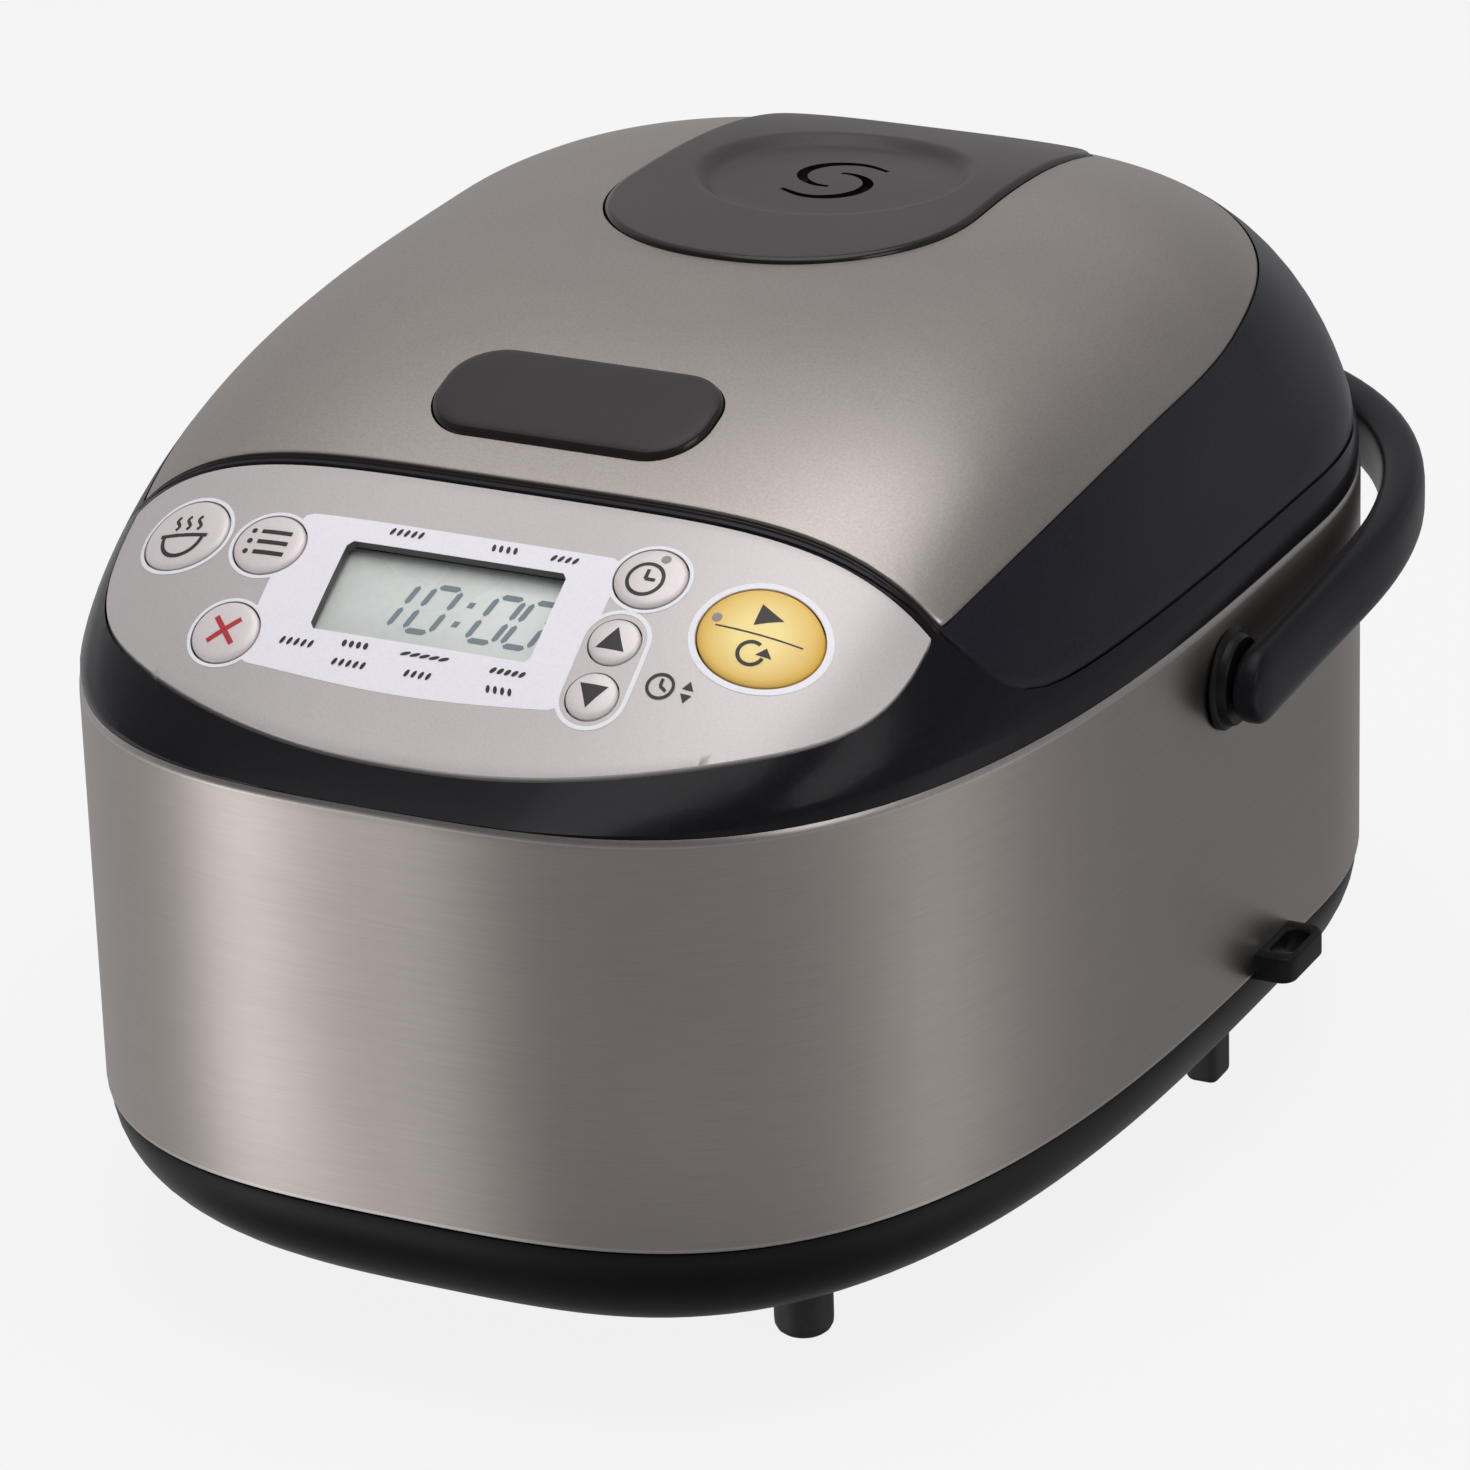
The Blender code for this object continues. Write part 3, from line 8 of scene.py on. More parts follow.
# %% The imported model
import json
import math
import bmesh
import bpy
import numpy as np
from mathutils import Matrix, Vector

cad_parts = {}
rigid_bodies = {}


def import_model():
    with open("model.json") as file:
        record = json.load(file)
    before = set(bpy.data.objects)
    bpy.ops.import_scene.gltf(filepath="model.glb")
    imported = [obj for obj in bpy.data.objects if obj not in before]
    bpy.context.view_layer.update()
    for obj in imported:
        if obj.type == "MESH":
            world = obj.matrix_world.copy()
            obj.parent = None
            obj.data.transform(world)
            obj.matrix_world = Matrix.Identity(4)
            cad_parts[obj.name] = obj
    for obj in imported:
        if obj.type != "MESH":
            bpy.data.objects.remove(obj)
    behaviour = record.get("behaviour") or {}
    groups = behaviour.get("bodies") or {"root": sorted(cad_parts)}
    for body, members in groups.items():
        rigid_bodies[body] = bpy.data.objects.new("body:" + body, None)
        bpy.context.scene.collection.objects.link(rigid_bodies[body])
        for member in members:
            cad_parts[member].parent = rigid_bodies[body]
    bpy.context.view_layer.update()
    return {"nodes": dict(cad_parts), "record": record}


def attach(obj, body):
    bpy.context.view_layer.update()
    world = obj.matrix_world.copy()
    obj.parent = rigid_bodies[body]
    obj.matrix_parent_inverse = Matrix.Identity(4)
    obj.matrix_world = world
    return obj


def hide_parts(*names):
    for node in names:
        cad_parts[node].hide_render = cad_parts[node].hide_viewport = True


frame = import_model()
nodes = frame["nodes"]

# %% [markdown]
# ## Sizes
# Lengths in this script are millimetres and are turned into metres when a mesh is made.
# They repeat the driving dimensions of the model, so the fine pieces land on the coarse ones.

# %% Sizes
MM = 0.001
HALF_WIDTH, Y_WIDEST, REACH_FRONT, REACH_REAR = 106.0, 42.9, 193.3, 91.9
Z_FLOOR, Z_LOW, Z_TOP, Z_DECK, Z_LID, Z_LIP = 11.0, 39.8, 123.2, 131.0, 131.5, 132.8
LID_FRONT_Y, SKIN_FRONT_Y, TRIM_FRONT_Y, RECESS = -89.4, -87.0, -88.7, 2.5
BUTTON_Y, BUTTON_HX, BUTTON_HY, BUTTON_R = -66.3, 29.0, 12.1, 10.6
CAP_Y0, CAP_NOSE, CAP_Y1, CAP_HALF, DISH_Y, Z_WELL = -7.0, 37.5, 97.6, 38.0, 47.0, 164.5
PANEL_Y, PANEL_HALF, PANEL_DEEP, PANEL_POWER, PANEL_THICK = -89.9, 84.0, 51.8, 2.3, 2.2
POWER_FRONT, POWER_REAR = 3.2, 2.35
TILT = math.radians(31.0)
ORIGIN = np.array([0.0, -113.2, 149.2])
NORMAL = np.array([0.0, -math.sin(TILT), math.cos(TILT)])
SLOPE = np.array([0.0, math.cos(TILT), math.sin(TILT)])
POT_Y = 26.0
HINGE_Y, HINGE_Z, BARREL_R, BORE_R = 130.2, 134.5, 4.6, 2.3
PIVOT_Y, PIVOT_Z, ARM_X, CROSS_Y, CROSS_Z = -2.0, 108.5, 112.2, 145.7, 116.5

# %% [markdown]
# ## Materials
# Each one is built from noise: a little variation in colour, some in roughness, and a fine bump
# at the scale of the real surface, in object coordinates so that nothing depends on UVs.

# %% Material helpers
M = {}


def node(tree, kind, **values):
    made = tree.nodes.new(kind)
    for key, value in values.items():
        if hasattr(made, key):
            setattr(made, key, value)
        else:
            made.inputs[key.replace("_", " ")].default_value = value
    return made


def noise(tree, scale, stretch=(1, 1, 1), detail=3.0):
    """Noise in metres: a scale of 1000 gives spots of about a millimetre."""
    where = node(tree, "ShaderNodeTexCoord")
    mapping = node(tree, "ShaderNodeMapping")
    mapping.inputs["Scale"].default_value = stretch
    tree.links.new(where.outputs["Object"], mapping.inputs["Vector"])
    made = node(tree, "ShaderNodeTexNoise", Scale=scale, Detail=detail)
    tree.links.new(mapping.outputs["Vector"], made.inputs["Vector"])
    return made.outputs["Fac"]


def ramp(tree, source, low, high, start=0.3, stop=0.7):
    """Maps a noise value onto two colours or two grey levels."""
    made = node(tree, "ShaderNodeValToRGB")
    for element, value, place in zip(made.color_ramp.elements, (low, high), (start, stop)):
        element.position = place
        element.color = (*value, 1.0) if hasattr(value, "__len__") else (value, value, value, 1.0)
    tree.links.new(source, made.inputs["Fac"])
    return made.outputs["Color"]


def feed(tree, sockets, values):
    """Gives each socket a number or the output of another node."""
    for socket, value in zip(sockets, values):
        if isinstance(value, (int, float)):
            socket.default_value = value
        else:
            tree.links.new(value, socket)


def maths(tree, operation, *values):
    made = node(tree, "ShaderNodeMath", operation=operation)
    feed(tree, made.inputs, values)
    return made.outputs[0]


def shaded(c, k):
    return tuple(min(1.0, v * k) for v in c)


def finish(name, colour, rough, metallic=0.0, spread=0.06, grain=1500, stretch=(1, 1, 1), bump=0.05,
           depth=0.02, rough_spread=0.05, coat=0.0, patch=18, tangent=False, aniso=0.0, specular=0.5):
    """A Principled material with patchy colour, uneven roughness and a fine bump, kept in M."""
    mat = M[name] = bpy.data.materials.new(name)
    mat.use_nodes = True
    tree = mat.node_tree
    shader = tree.nodes["Principled BSDF"]
    fine, broad = noise(tree, grain, stretch), noise(tree, patch)
    blend = node(tree, "ShaderNodeMix", data_type="RGBA", blend_type="MULTIPLY")
    blend.inputs[0].default_value = 1.0
    tree.links.new(ramp(tree, fine, shaded(colour, 1 - spread), shaded(colour, 1 + spread)),
                   blend.inputs[6])
    tree.links.new(ramp(tree, broad, 1 - spread * 0.6, 1.0), blend.inputs[7])
    tree.links.new(blend.outputs[2], shader.inputs["Base Color"])
    tree.links.new(ramp(tree, broad, max(0.02, rough - rough_spread), min(1.0, rough + rough_spread)),
                   shader.inputs["Roughness"])
    lumps = node(tree, "ShaderNodeBump", Strength=bump, Distance=depth * MM)
    tree.links.new(fine, lumps.inputs["Height"])
    tree.links.new(lumps.outputs["Normal"], shader.inputs["Normal"])
    shader.inputs["Metallic"].default_value = metallic
    shader.inputs["Coat Weight"].default_value = coat
    shader.inputs["Coat Roughness"].default_value = 0.06
    shader.inputs["Specular IOR Level"].default_value = specular
    if tangent:
        around = node(tree, "ShaderNodeTangent", direction_type="RADIAL", axis="Z")
        tree.links.new(around.outputs["Tangent"], shader.inputs["Tangent"])
        shader.inputs["Anisotropic"].default_value = aniso
        shader.inputs["Anisotropic Rotation"].default_value = 0.25
    return mat


# %% Materials
finish("brushed_steel", (0.52, 0.470, 0.430), 0.34, 1.0, 0.05, 90, (1, 1, 60), 0.12, 0.03,
       0.03, tangent=True, aniso=0.6)
finish("satin_steel", (0.50, 0.455, 0.42), 0.42, 1.0, 0.08, 1900, bump=0.10, depth=0.03)
finish("steel_edge", (0.60, 0.56, 0.53), 0.32, 1.0, 0.04, 900)
finish("gloss_black", (0.006, 0.005, 0.007), 0.20, 0, 0.2, 700, bump=0.015, coat=0.05,
       rough_spread=0.03, specular=0.2)
finish("satin_dark", (0.012, 0.011, 0.017), 0.30, 0, 0.2, 1300, bump=0.05, specular=0.22)
finish("base_black", (0.006, 0.0055, 0.006), 0.34, 0, 0.2, 1500, bump=0.06, specular=0.2)
finish("handle_black", (0.009, 0.008, 0.010), 0.30, 0, 0.2, 1400, bump=0.06, specular=0.15)
finish("black_rubber", (0.012, 0.012, 0.012), 0.55, 0, 0.25, 1200, bump=0.15)
finish("brown_plastic", (0.058, 0.047, 0.048), 0.38, 0, 0.10, 1900, bump=0.10, specular=0.35)
finish("brown_button", (0.036, 0.030, 0.031), 0.38, 0, 0.10, 1900, bump=0.10, specular=0.3)
# dark glossy brown: the flanks of button and cap, and painted shade in the vent pockets of the cap
finish("brown_gloss", (0.012, 0.008, 0.007), 0.20, 0, 0.15, 900, bump=0.02, coat=0.2, specular=0.4)
finish("trim_brown", (0.012, 0.008, 0.006), 0.24, 0, 0.15, 900, bump=0.02, coat=0.1, specular=0.3)
finish("panel_silver", (0.60, 0.555, 0.55), 0.34, 0.35, 0.05, 2400, bump=0.04)
finish("key_silver", (0.78, 0.71, 0.71), 0.36, 0.2, 0.04, 2400, bump=0.03)
finish("print_white", (0.90, 0.87, 0.93), 0.40, 0, 0.03, 1800, bump=0.02)
finish("ring_white", (0.88, 0.87, 0.92), 0.38, 0, 0.02, 1800, bump=0.02)
finish("ink_black", (0.030, 0.024, 0.024), 0.42, 0, 0.12, 1800, bump=0.03)
finish("ink_red", (0.50, 0.030, 0.035), 0.42, 0, 0.08, 1800, bump=0.03)
finish("led_grey", (0.30, 0.26, 0.26), 0.30, 0, 0.06, 1500)
finish("lcd_face", (0.72, 0.75, 0.72), 0.30, 0, 0.03, 500, bump=0.01, coat=0.3)
finish("lcd_segment", (0.20, 0.25, 0.28), 0.35, 0, 0.05, 900)
# dark grey: the walls of the display opening, a bezel and painted shade in that recess; also the fallback
# for carried-over nodes
finish("lcd_frame", (0.07, 0.07, 0.07), 0.45, 0, 0.10, 1500)
finish("board_green", (0.02, 0.12, 0.05), 0.45, 0, 0.15, 900, coat=0.2)
finish("zinc_steel", (0.62, 0.61, 0.58), 0.34, 1.0, 0.08, 900)
finish("spring_steel", (0.50, 0.50, 0.51), 0.28, 1.0, 0.08, 1200)
finish("aluminium", (0.72, 0.72, 0.73), 0.34, 1.0, 0.05, 1500, bump=0.08)
finish("nonstick_dark", (0.060, 0.060, 0.064), 0.40, 0.6, 0.25, 1400, bump=0.08)
finish("silicone_grey", (0.42, 0.42, 0.43), 0.55, 0, 0.05, 900, bump=0.08)
finish("grey_plastic", (0.30, 0.30, 0.31), 0.42, 0, 0.05, 1700, bump=0.10)
finish("white_plastic", (0.72, 0.71, 0.69), 0.42, 0, 0.04, 1600, bump=0.08)
finish("foil_heater", (0.70, 0.70, 0.72), 0.25, 1.0, 0.12, 120, bump=0.3, depth=0.15)
finish("nickel_brass", (0.62, 0.56, 0.40), 0.25, 1.0, 0.06, 900)


def start_key_material(centre, reach=12.6):
    """Yellow that is paler in the middle of the key and deeper towards its edge."""
    mat = finish("key_yellow", (0.85, 0.58, 0.12), 0.34, 0, 0.03, 2000, bump=0.03)
    tree = mat.node_tree
    where = node(tree, "ShaderNodeTexCoord")
    away = node(tree, "ShaderNodeVectorMath", operation="DISTANCE")
    away.inputs[1].default_value = tuple(v * MM for v in centre)
    tree.links.new(where.outputs["Object"], away.inputs[0])
    part = maths(tree, "MULTIPLY", away.outputs["Value"], 1 / (reach * MM))
    tint = ramp(tree, part, (1.0, 0.80, 0.31), (0.78, 0.45, 0.06), 0.30, 1.0)
    tree.links.new(tint, tree.nodes["Principled BSDF"].inputs["Base Color"])


M["display_glass"] = M["display_window"] = M["lcd_face"]
print("materials:", len(M))

# %% [markdown]
# ## Outlines and dome
# The body is a superellipse seen from above, longer in front. A gauge is 1 on an outline and less
# inside it. The dome gives the height of the top over any point, and serves lid, panel and shoulder.

# %% Outlines and dome
def gauge_body(x, y, inset=0.0):
    dy = y - Y_WIDEST
    deep = np.where(dy < 0, REACH_FRONT, REACH_REAR) - inset
    power = np.where(dy < 0, POWER_FRONT, POWER_REAR)
    return ((np.abs(x) / (HALF_WIDTH - inset)) ** power + (np.abs(dy) / deep) ** power) ** (1 / power)


def gauge_lid(x, y, inset=0.0):
    g = gauge_body(x, y, 1.5 + inset)
    front = np.maximum(0.0, (Y_WIDEST - y) / (Y_WIDEST - LID_FRONT_Y - inset))
    return (g ** 20 + front ** 20) ** (1 / 20)


def gauge_skin(x, y, inset=0.0, front_y=SKIN_FRONT_Y):
    dy = y + 2.8
    deep, power = np.where(dy < 0, 165.0, 111.0), np.where(dy < 0, 2.5, 3.0)
    g = ((np.abs(x) / (91.8 - inset)) ** power + (np.abs(dy) / (deep - inset)) ** power) ** (1 / power)
    front = np.maximum(0.0, (Y_WIDEST - y) / (Y_WIDEST - front_y - inset))
    high = np.maximum(g, front)
    return high * ((g / high) ** 160 + (front / high) ** 160) ** (1 / 160)


def gauge_cap(x, y, inset=0.0):
    half, round_y = CAP_HALF - inset, CAP_Y0 + CAP_NOSE
    side = np.abs(x) / (half - np.maximum(0.0, y - round_y) * 0.035)
    nose = (side ** 2.2 + (np.maximum(0.0, round_y - y) / (CAP_NOSE - inset)) ** 2.2) ** (1 / 2.2)
    side = np.where(y < round_y, nose, side)
    back = np.maximum(0.0, (y - 30.0) / (CAP_Y1 - inset - 30.0))
    return (side ** 24 + back ** 24) ** (1 / 24)


def dome(x, y):
    dy = np.asarray(y, dtype=float) - Y_WIDEST
    ahead = dy < 0
    t = np.minimum(np.abs(dy) / np.where(ahead, REACH_FRONT, REACH_REAR), 1.0)
    power = np.where(ahead, POWER_FRONT, POWER_REAR)
    half = HALF_WIDTH * np.maximum(1 - t ** power, 0.0) ** (1 / power)
    rise = 59.95 * np.maximum(1 - t ** np.where(ahead, 3.44, 2.04), 0.0) ** np.where(ahead, 1.25, 0.30)
    s = np.minimum(np.abs(x) / np.maximum(half, 1e-6), 1.0)
    side = 4.6 + np.where(ahead, 0.0, (3.25 - 4.6) * t)
    return Z_TOP + rise * np.maximum(1 - s ** side, 0.0) ** 0.61


def dome_z(x, y):
    return float(dome(x, y))


def directions(count=190):
    """Directions from the body centre, close together at the corners of the lid."""
    out = []
    for i in range(count):
        t = 2 * math.pi * i / count
        deep = REACH_FRONT if math.sin(t) < 0 else REACH_REAR
        out.append(math.atan2(deep * math.sin(t), HALF_WIDTH * math.cos(t)) % (2 * math.pi))
    for x, y in ((84.8, -87.6), (91.5, -84.5)):
        for side in (-1, 1):
            middle = math.atan2(y - Y_WIDEST, side * x) % (2 * math.pi)
            for d in (-2.4, -1.6, -1.0, -0.5, -0.2, 0, 0.2, 0.5, 1.0, 1.6, 2.4):
                out.append(middle + math.radians(d))
    kept = []
    for a in sorted(out):
        if not kept or a - kept[-1] > 0.0028:
            kept.append(a)
    return np.array(kept)


ANGLES = directions()


def outline(gauge, centre=(0.0, Y_WIDEST), angles=ANGLES):
    """Points of an outline, one for each direction from its centre."""
    c, s = np.cos(angles), np.sin(angles)
    low, high = np.zeros(len(angles)), np.full(len(angles), 260.0)
    for _ in range(44):
        mid = (low + high) / 2
        inside = gauge(centre[0] + mid * c, centre[1] + mid * s) < 1
        low, high = np.where(inside, mid, low), np.where(inside, high, mid)
    return np.column_stack([centre[0] + low * c, centre[1] + low * s])


def body_line(inset):
    return outline(lambda x, y: gauge_body(x, y, inset))


def lid_line(grow):
    return outline(lambda x, y: gauge_lid(x, y, -grow))


def circle(radius, centre=(0.0, POT_Y)):
    return outline(lambda x, y: np.hypot(x - centre[0], y - centre[1]) / radius)


def at(points, z):
    return np.column_stack([points[:, 0], points[:, 1], np.broadcast_to(z, len(points))])


def on_dome(points, lift=0.0):
    return at(points, dome(points[:, 0], points[:, 1]) + lift)


def mixed(a, b, share):
    return a + (b - a) * share


def scaled(points, share, y0=Y_WIDEST):
    return np.column_stack([points[:, 0] * share, y0 + (points[:, 1] - y0) * share])


def turns(n):
    return 2 * np.pi * np.arange(n) / n


print("directions round the body:", len(ANGLES))

# %% [markdown]
# ## Mesh helpers
# A loft skins a list of rings with equal counts. Cuts and additions are exact Booleans that are
# worked out at once, so that edges can be sharpened and softened on the finished mesh.

# %% Mesh helpers
def make(name, points, faces, mats=()):
    mesh = bpy.data.meshes.new(name)
    mesh.from_pydata([tuple(float(c) * MM for c in p) for p in points], [], [list(f) for f in faces])
    for mat in mats:
        mesh.materials.append(mat)
    obj = bpy.data.objects.new(name, mesh)
    bpy.context.scene.collection.objects.link(obj)
    return obj


def outward(obj):
    bm = bmesh.new()
    bm.from_mesh(obj.data)
    bmesh.ops.recalc_face_normals(bm, faces=bm.faces)
    bm.to_mesh(obj.data)
    bm.free()
    return obj


def loft(name, rings, mats=(), start=None, end=None, closed=False, slots=None):
    """Skins rings; start and end are poles, and slots gives the material index of each band."""
    n = len(rings[0])
    points = [tuple(p) for ring in rings for p in ring]
    pairs = [(k, k + 1) for k in range(len(rings) - 1)] + ([(len(rings) - 1, 0)] if closed else [])
    faces, index = [], []
    for band, (a, b) in enumerate(pairs):
        for i in range(n):
            j = (i + 1) % n
            faces.append((a * n + i, a * n + j, b * n + j, b * n + i))
            index.append(slots[band] if slots else 0)
    for pole, ring in ((start, 0), (end, len(rings) - 1)):
        if closed:
            continue
        if pole is None:
            faces.append(tuple(ring * n + i for i in range(n)))
            index.append(0)
        else:
            points.append(tuple(pole))
            for i in range(n):
                faces.append((len(points) - 1, ring * n + i, ring * n + (i + 1) % n))
                index.append(0)
    obj = make(name, points, faces, mats)
    for poly, slot in zip(obj.data.polygons, index):
        poly.material_index = slot
    return outward(obj)


def lathe(name, profile, mats=(), centre=(0.0, 0.0), n=120, closed=False, axis="Z"):
    """Turns (radius, height) pairs; a first or last radius of 0 is a pole."""
    turn = turns(n)

    def place(r, h):
        c, s, along = centre[0] + r * np.cos(turn), centre[1] + r * np.sin(turn), np.full(n, h)
        return np.column_stack([c, s, along] if axis == "Z" else [along, c, s])
    body, start, end = list(profile), None, None
    if body[0][0] == 0:
        start = place(0, body.pop(0)[1])[0]
    if body[-1][0] == 0:
        end = place(0, body.pop()[1])[0]
    return loft(name, [place(r, h) for r, h in body], mats, start, end, closed)


BOX_FACES = ((0, 1, 3, 2), (4, 6, 7, 5), (0, 4, 5, 1), (2, 3, 7, 6), (0, 2, 6, 4), (1, 5, 7, 3))


def block(name, x, y, z):
    return outward(make(name, [(a, b, c) for a in x for b in y for c in z], BOX_FACES))


def rod(name, x0, x1, y, z, radius, n=40):
    return lathe(name, [(radius, x0), (radius, x1)], (), (y, z), n, axis="X")


def prism(name, points, z0, z1):
    return loft(name, [at(points, z0), at(points, z1)])


def bake(obj):
    """Replaces the mesh by what its modifiers give."""
    graph = bpy.context.evaluated_depsgraph_get()
    mesh = bpy.data.meshes.new_from_object(obj.evaluated_get(graph))
    obj.modifiers.clear()
    obj.data = mesh
    return obj


def combine(obj, operation, tools, slot=None):
    for tool in tools:
        if slot is not None:
            for mat in obj.data.materials:
                tool.data.materials.append(mat)
            for poly in tool.data.polygons:
                poly.material_index = slot
        mod = obj.modifiers.new("part", "BOOLEAN")
        mod.operation, mod.solver, mod.object = operation, "EXACT", tool
        bake(obj)
        bpy.data.objects.remove(tool, do_unlink=True)
    return obj


def cut(obj, *tools, slot=None):
    return combine(obj, "DIFFERENCE", tools, slot)


def add(obj, *tools):
    return combine(obj, "UNION", tools)


def hinge_barrels(obj, near, far, arm_y, arm_z):
    """Adds a barrel and its arm on each side of the middle, then bores the barrels for the pin."""
    for side in (-1, 1):
        x0, x1 = sorted((side * near, side * far))
        add(obj, rod("barrel", x0, x1, HINGE_Y, HINGE_Z, BARREL_R),
            block("arm", (x0 + 0.4, x1 - 0.4), arm_y, arm_z))
    return cut(obj, rod("bore", -50, 50, HINGE_Y, HINGE_Z, BORE_R))


def soften(obj, width=0.25, angle=40, segments=2):
    """Rounds the sharp edges a little."""
    mod = obj.modifiers.new("edge", "BEVEL")
    mod.width, mod.segments, mod.limit_method = width * MM, segments, "ANGLE"
    mod.angle_limit = math.radians(angle)
    mod.use_clamp_overlap = True
    return bake(obj)


def done(obj, body, *stands_for, slot=None, angle=38):
    """Smooth shading, then the piece goes onto its body in place of the nodes it stands for."""
    obj.data.shade_smooth()
    obj.data.set_sharp_from_angle(angle=math.radians(angle))
    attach(obj, body)
    if stands_for:
        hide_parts(*stands_for)
    print("%-18s %6d faces on %s" % (obj.name, len(obj.data.polygons), body))
    return obj


# %% [markdown]
# ## Shell, base and feet
# The shell is a band of brushed steel with a rolled rim above and a folded edge below.
# The base curves in under it on a quarter of an ellipse.

# %% Shell
wall = [(0.95, 40.0), (0.45, 39.8), (0.1, 40.1), (0.0, 40.8), (0.0, 60.0), (0.0, 80.0), (0.0, 100.0),
        (0.0, 119.6), (0.0, 121.6), (0.12, 122.5), (0.5, 123.1), (1.0, 123.1), (1.35, 122.6),
        (1.35, 45.0)]
shell = loft("shell_band", [at(body_line(i), z) for i, z in wall], [M["brushed_steel"], M["steel_edge"]],
             closed=True, slots=[1, 1, 1, 0, 0, 0, 0, 0, 1, 1, 1, 1, 0, 0])
cut(shell, block("inlet_room", (-16.3, 16.3), (120, 140), (50.7, 73.3)))
done(shell, "body_base", "outer_shell", slot="brushed_steel")

# %% Base
depth = Z_LOW - Z_FLOOR
bowl = [(4.0, 44.0), (1.5, 44.0), (1.5, 39.5), (0.75, 39.4), (0.6, 39.0)]
for k in range(1, 19):
    a = math.pi / 2 * k / 18
    bowl.append((0.6 + 44.4 * (1 - math.cos(a)), 39.0 - (39.0 - Z_FLOOR) * math.sin(a)))
base = loft("base_bowl", [at(body_line(i), z) for i, z in bowl], [M["base_black"]],
            start=(0, 10, 44.0), end=(0, 10, Z_FLOOR))
done(base, "body_base", "base_housing", slot="base_black", angle=50)

# %% Feet
for side, letter in ((-1, "l"), (1, "r")):
    foot = lathe("foot_front_" + letter, [(0, 0), (3.4, 0), (4.4, 0.25), (5.2, 0.9), (5.7, 1.9),
                                          (5.8, 3.2), (5.8, 15.7), (0, 15.7)], [M["black_rubber"]],
                 (side * 55, -92), 48)
    done(foot, "body_base", "front_foot_" + letter, slot="black_rubber")
    foot = block("foot_rear_" + letter, sorted((side * 79.4, side * 86.7)), (36.2, 44.8), (0, 21.7))
    foot.data.materials.append(M["black_rubber"])
    soften(foot, 2.0, 60, 6)
    done(foot, "body_base", "rear_foot_" + letter, slot="black_rubber")

# %% [markdown]
# ## Shoulder and deck
# The gloss frame rises from the rim of the shell to the panel, drops to a low lip beside the lid,
# and carries the deck with the pot opening and the fixed barrels of the hinge.

# %% Shoulder and deck
def lens_edge(grow_x, grow_y, top, count):
    t = math.pi + math.pi * np.arange(count + 1) / count
    c, s = np.cos(t), np.sin(t)
    r = (np.abs(c) ** PANEL_POWER + np.abs(s) ** PANEL_POWER) ** (-1 / PANEL_POWER)
    return np.column_stack([(PANEL_HALF + grow_x) * r * c, top + (PANEL_DEEP + grow_y) * r * s])


def lens_body(name, edge, low, high, mats=(), rows=14):
    """A plate over the panel's lens, following the dome between two lifts."""
    n = len(edge)
    share = np.linspace(0, 1, rows + 1)
    top = edge[0, 1] + (edge[-1, 1] - edge[0, 1]) * (edge[:, 0] - edge[0, 0]) / (edge[-1, 0] - edge[0, 0])
    points = []
    for lift in (low, high):
        for k in share:
            line = np.column_stack([edge[:, 0], edge[:, 1] + (top - edge[:, 1]) * k])
            points += [tuple(p) for p in on_dome(line, lift)]
    size = n * (rows + 1)

    def index(layer, k, i):
        return layer * size + (0 if i in (0, n - 1) else k) * n + i
    faces = []
    for i in range(n - 1):
        for k in range(rows):
            for layer in (0, 1):
                quad = [index(layer, k, i), index(layer, k, i + 1), index(layer, k + 1, i + 1),
                        index(layer, k + 1, i)]
                face = [q for j, q in enumerate(quad) if q not in quad[:j]]
                if len(face) > 2:
                    faces.append(face)
        for k in (0, rows):
            faces.append([index(0, k, i), index(0, k, i + 1), index(1, k, i + 1), index(1, k, i)])
    used = sorted({q for f in faces for q in f})
    place = {q: j for j, q in enumerate(used)}
    return outward(make(name, [points[q] for q in used], [[place[q] for q in f] for f in faces], mats))


def shoulder_rings():
    rim, inner = body_line(0.35), lid_line(0.45)
    rings = [at(body_line(1.5), 119.0), at(body_line(1.5), 123.2), at(body_line(0.5), 123.25)]
    for share in (0.0, 0.02, 0.06, 0.12, 0.2, 0.3, 0.42, 0.55, 0.7, 0.84, 0.94, 1.0):
        line = mixed(rim, inner, share)
        lip = Z_LIP + 1.6 * np.maximum(0.0, -64.0 - line[:, 1])
        z = np.minimum(dome(line[:, 0], line[:, 1]), lip)
        rings.append(at(line, np.maximum(Z_TOP + 0.1 + 4 * share, z)))
    rings += [at(inner, Z_DECK), at(circle(95.6), Z_DECK), at(circle(95.6), 129.5), at(circle(87.0), 129.5),
              at(circle(87.0), 119.0)]
    return rings


shoulder = loft("shoulder", shoulder_rings(), [M["gloss_black"]], closed=True)
cut(shoulder, lens_body("seat", lens_edge(0.35, 0.8, PANEL_Y + 0.06, 95), -3.0, 14.0, rows=10))
cut(shoulder, block("hinge_room", (-34.6, 34.6), (124.8, 140), (129.3, 140)))
hinge_barrels(shoulder, 24.3, 34.0, (127.0, 133.6), (127.6, 133.6))
cut(shoulder, block("latch_slot", (-15.5, 15.5), (-86.9, -76.5), (110, 136)))
cut(shoulder, block("display_room", (-31.5, 20.0), (-123.5, -102.5), (125, 165)))
done(shoulder, "body_base", "upper_frame", slot="gloss_black")

# %% [markdown]
# ## Control panel
# The panel is a lens that follows the dome. Keys, rings and print are laid out in its tilted frame:
# u runs across and v up the slope from a key's centre, and points are dropped onto the dome.

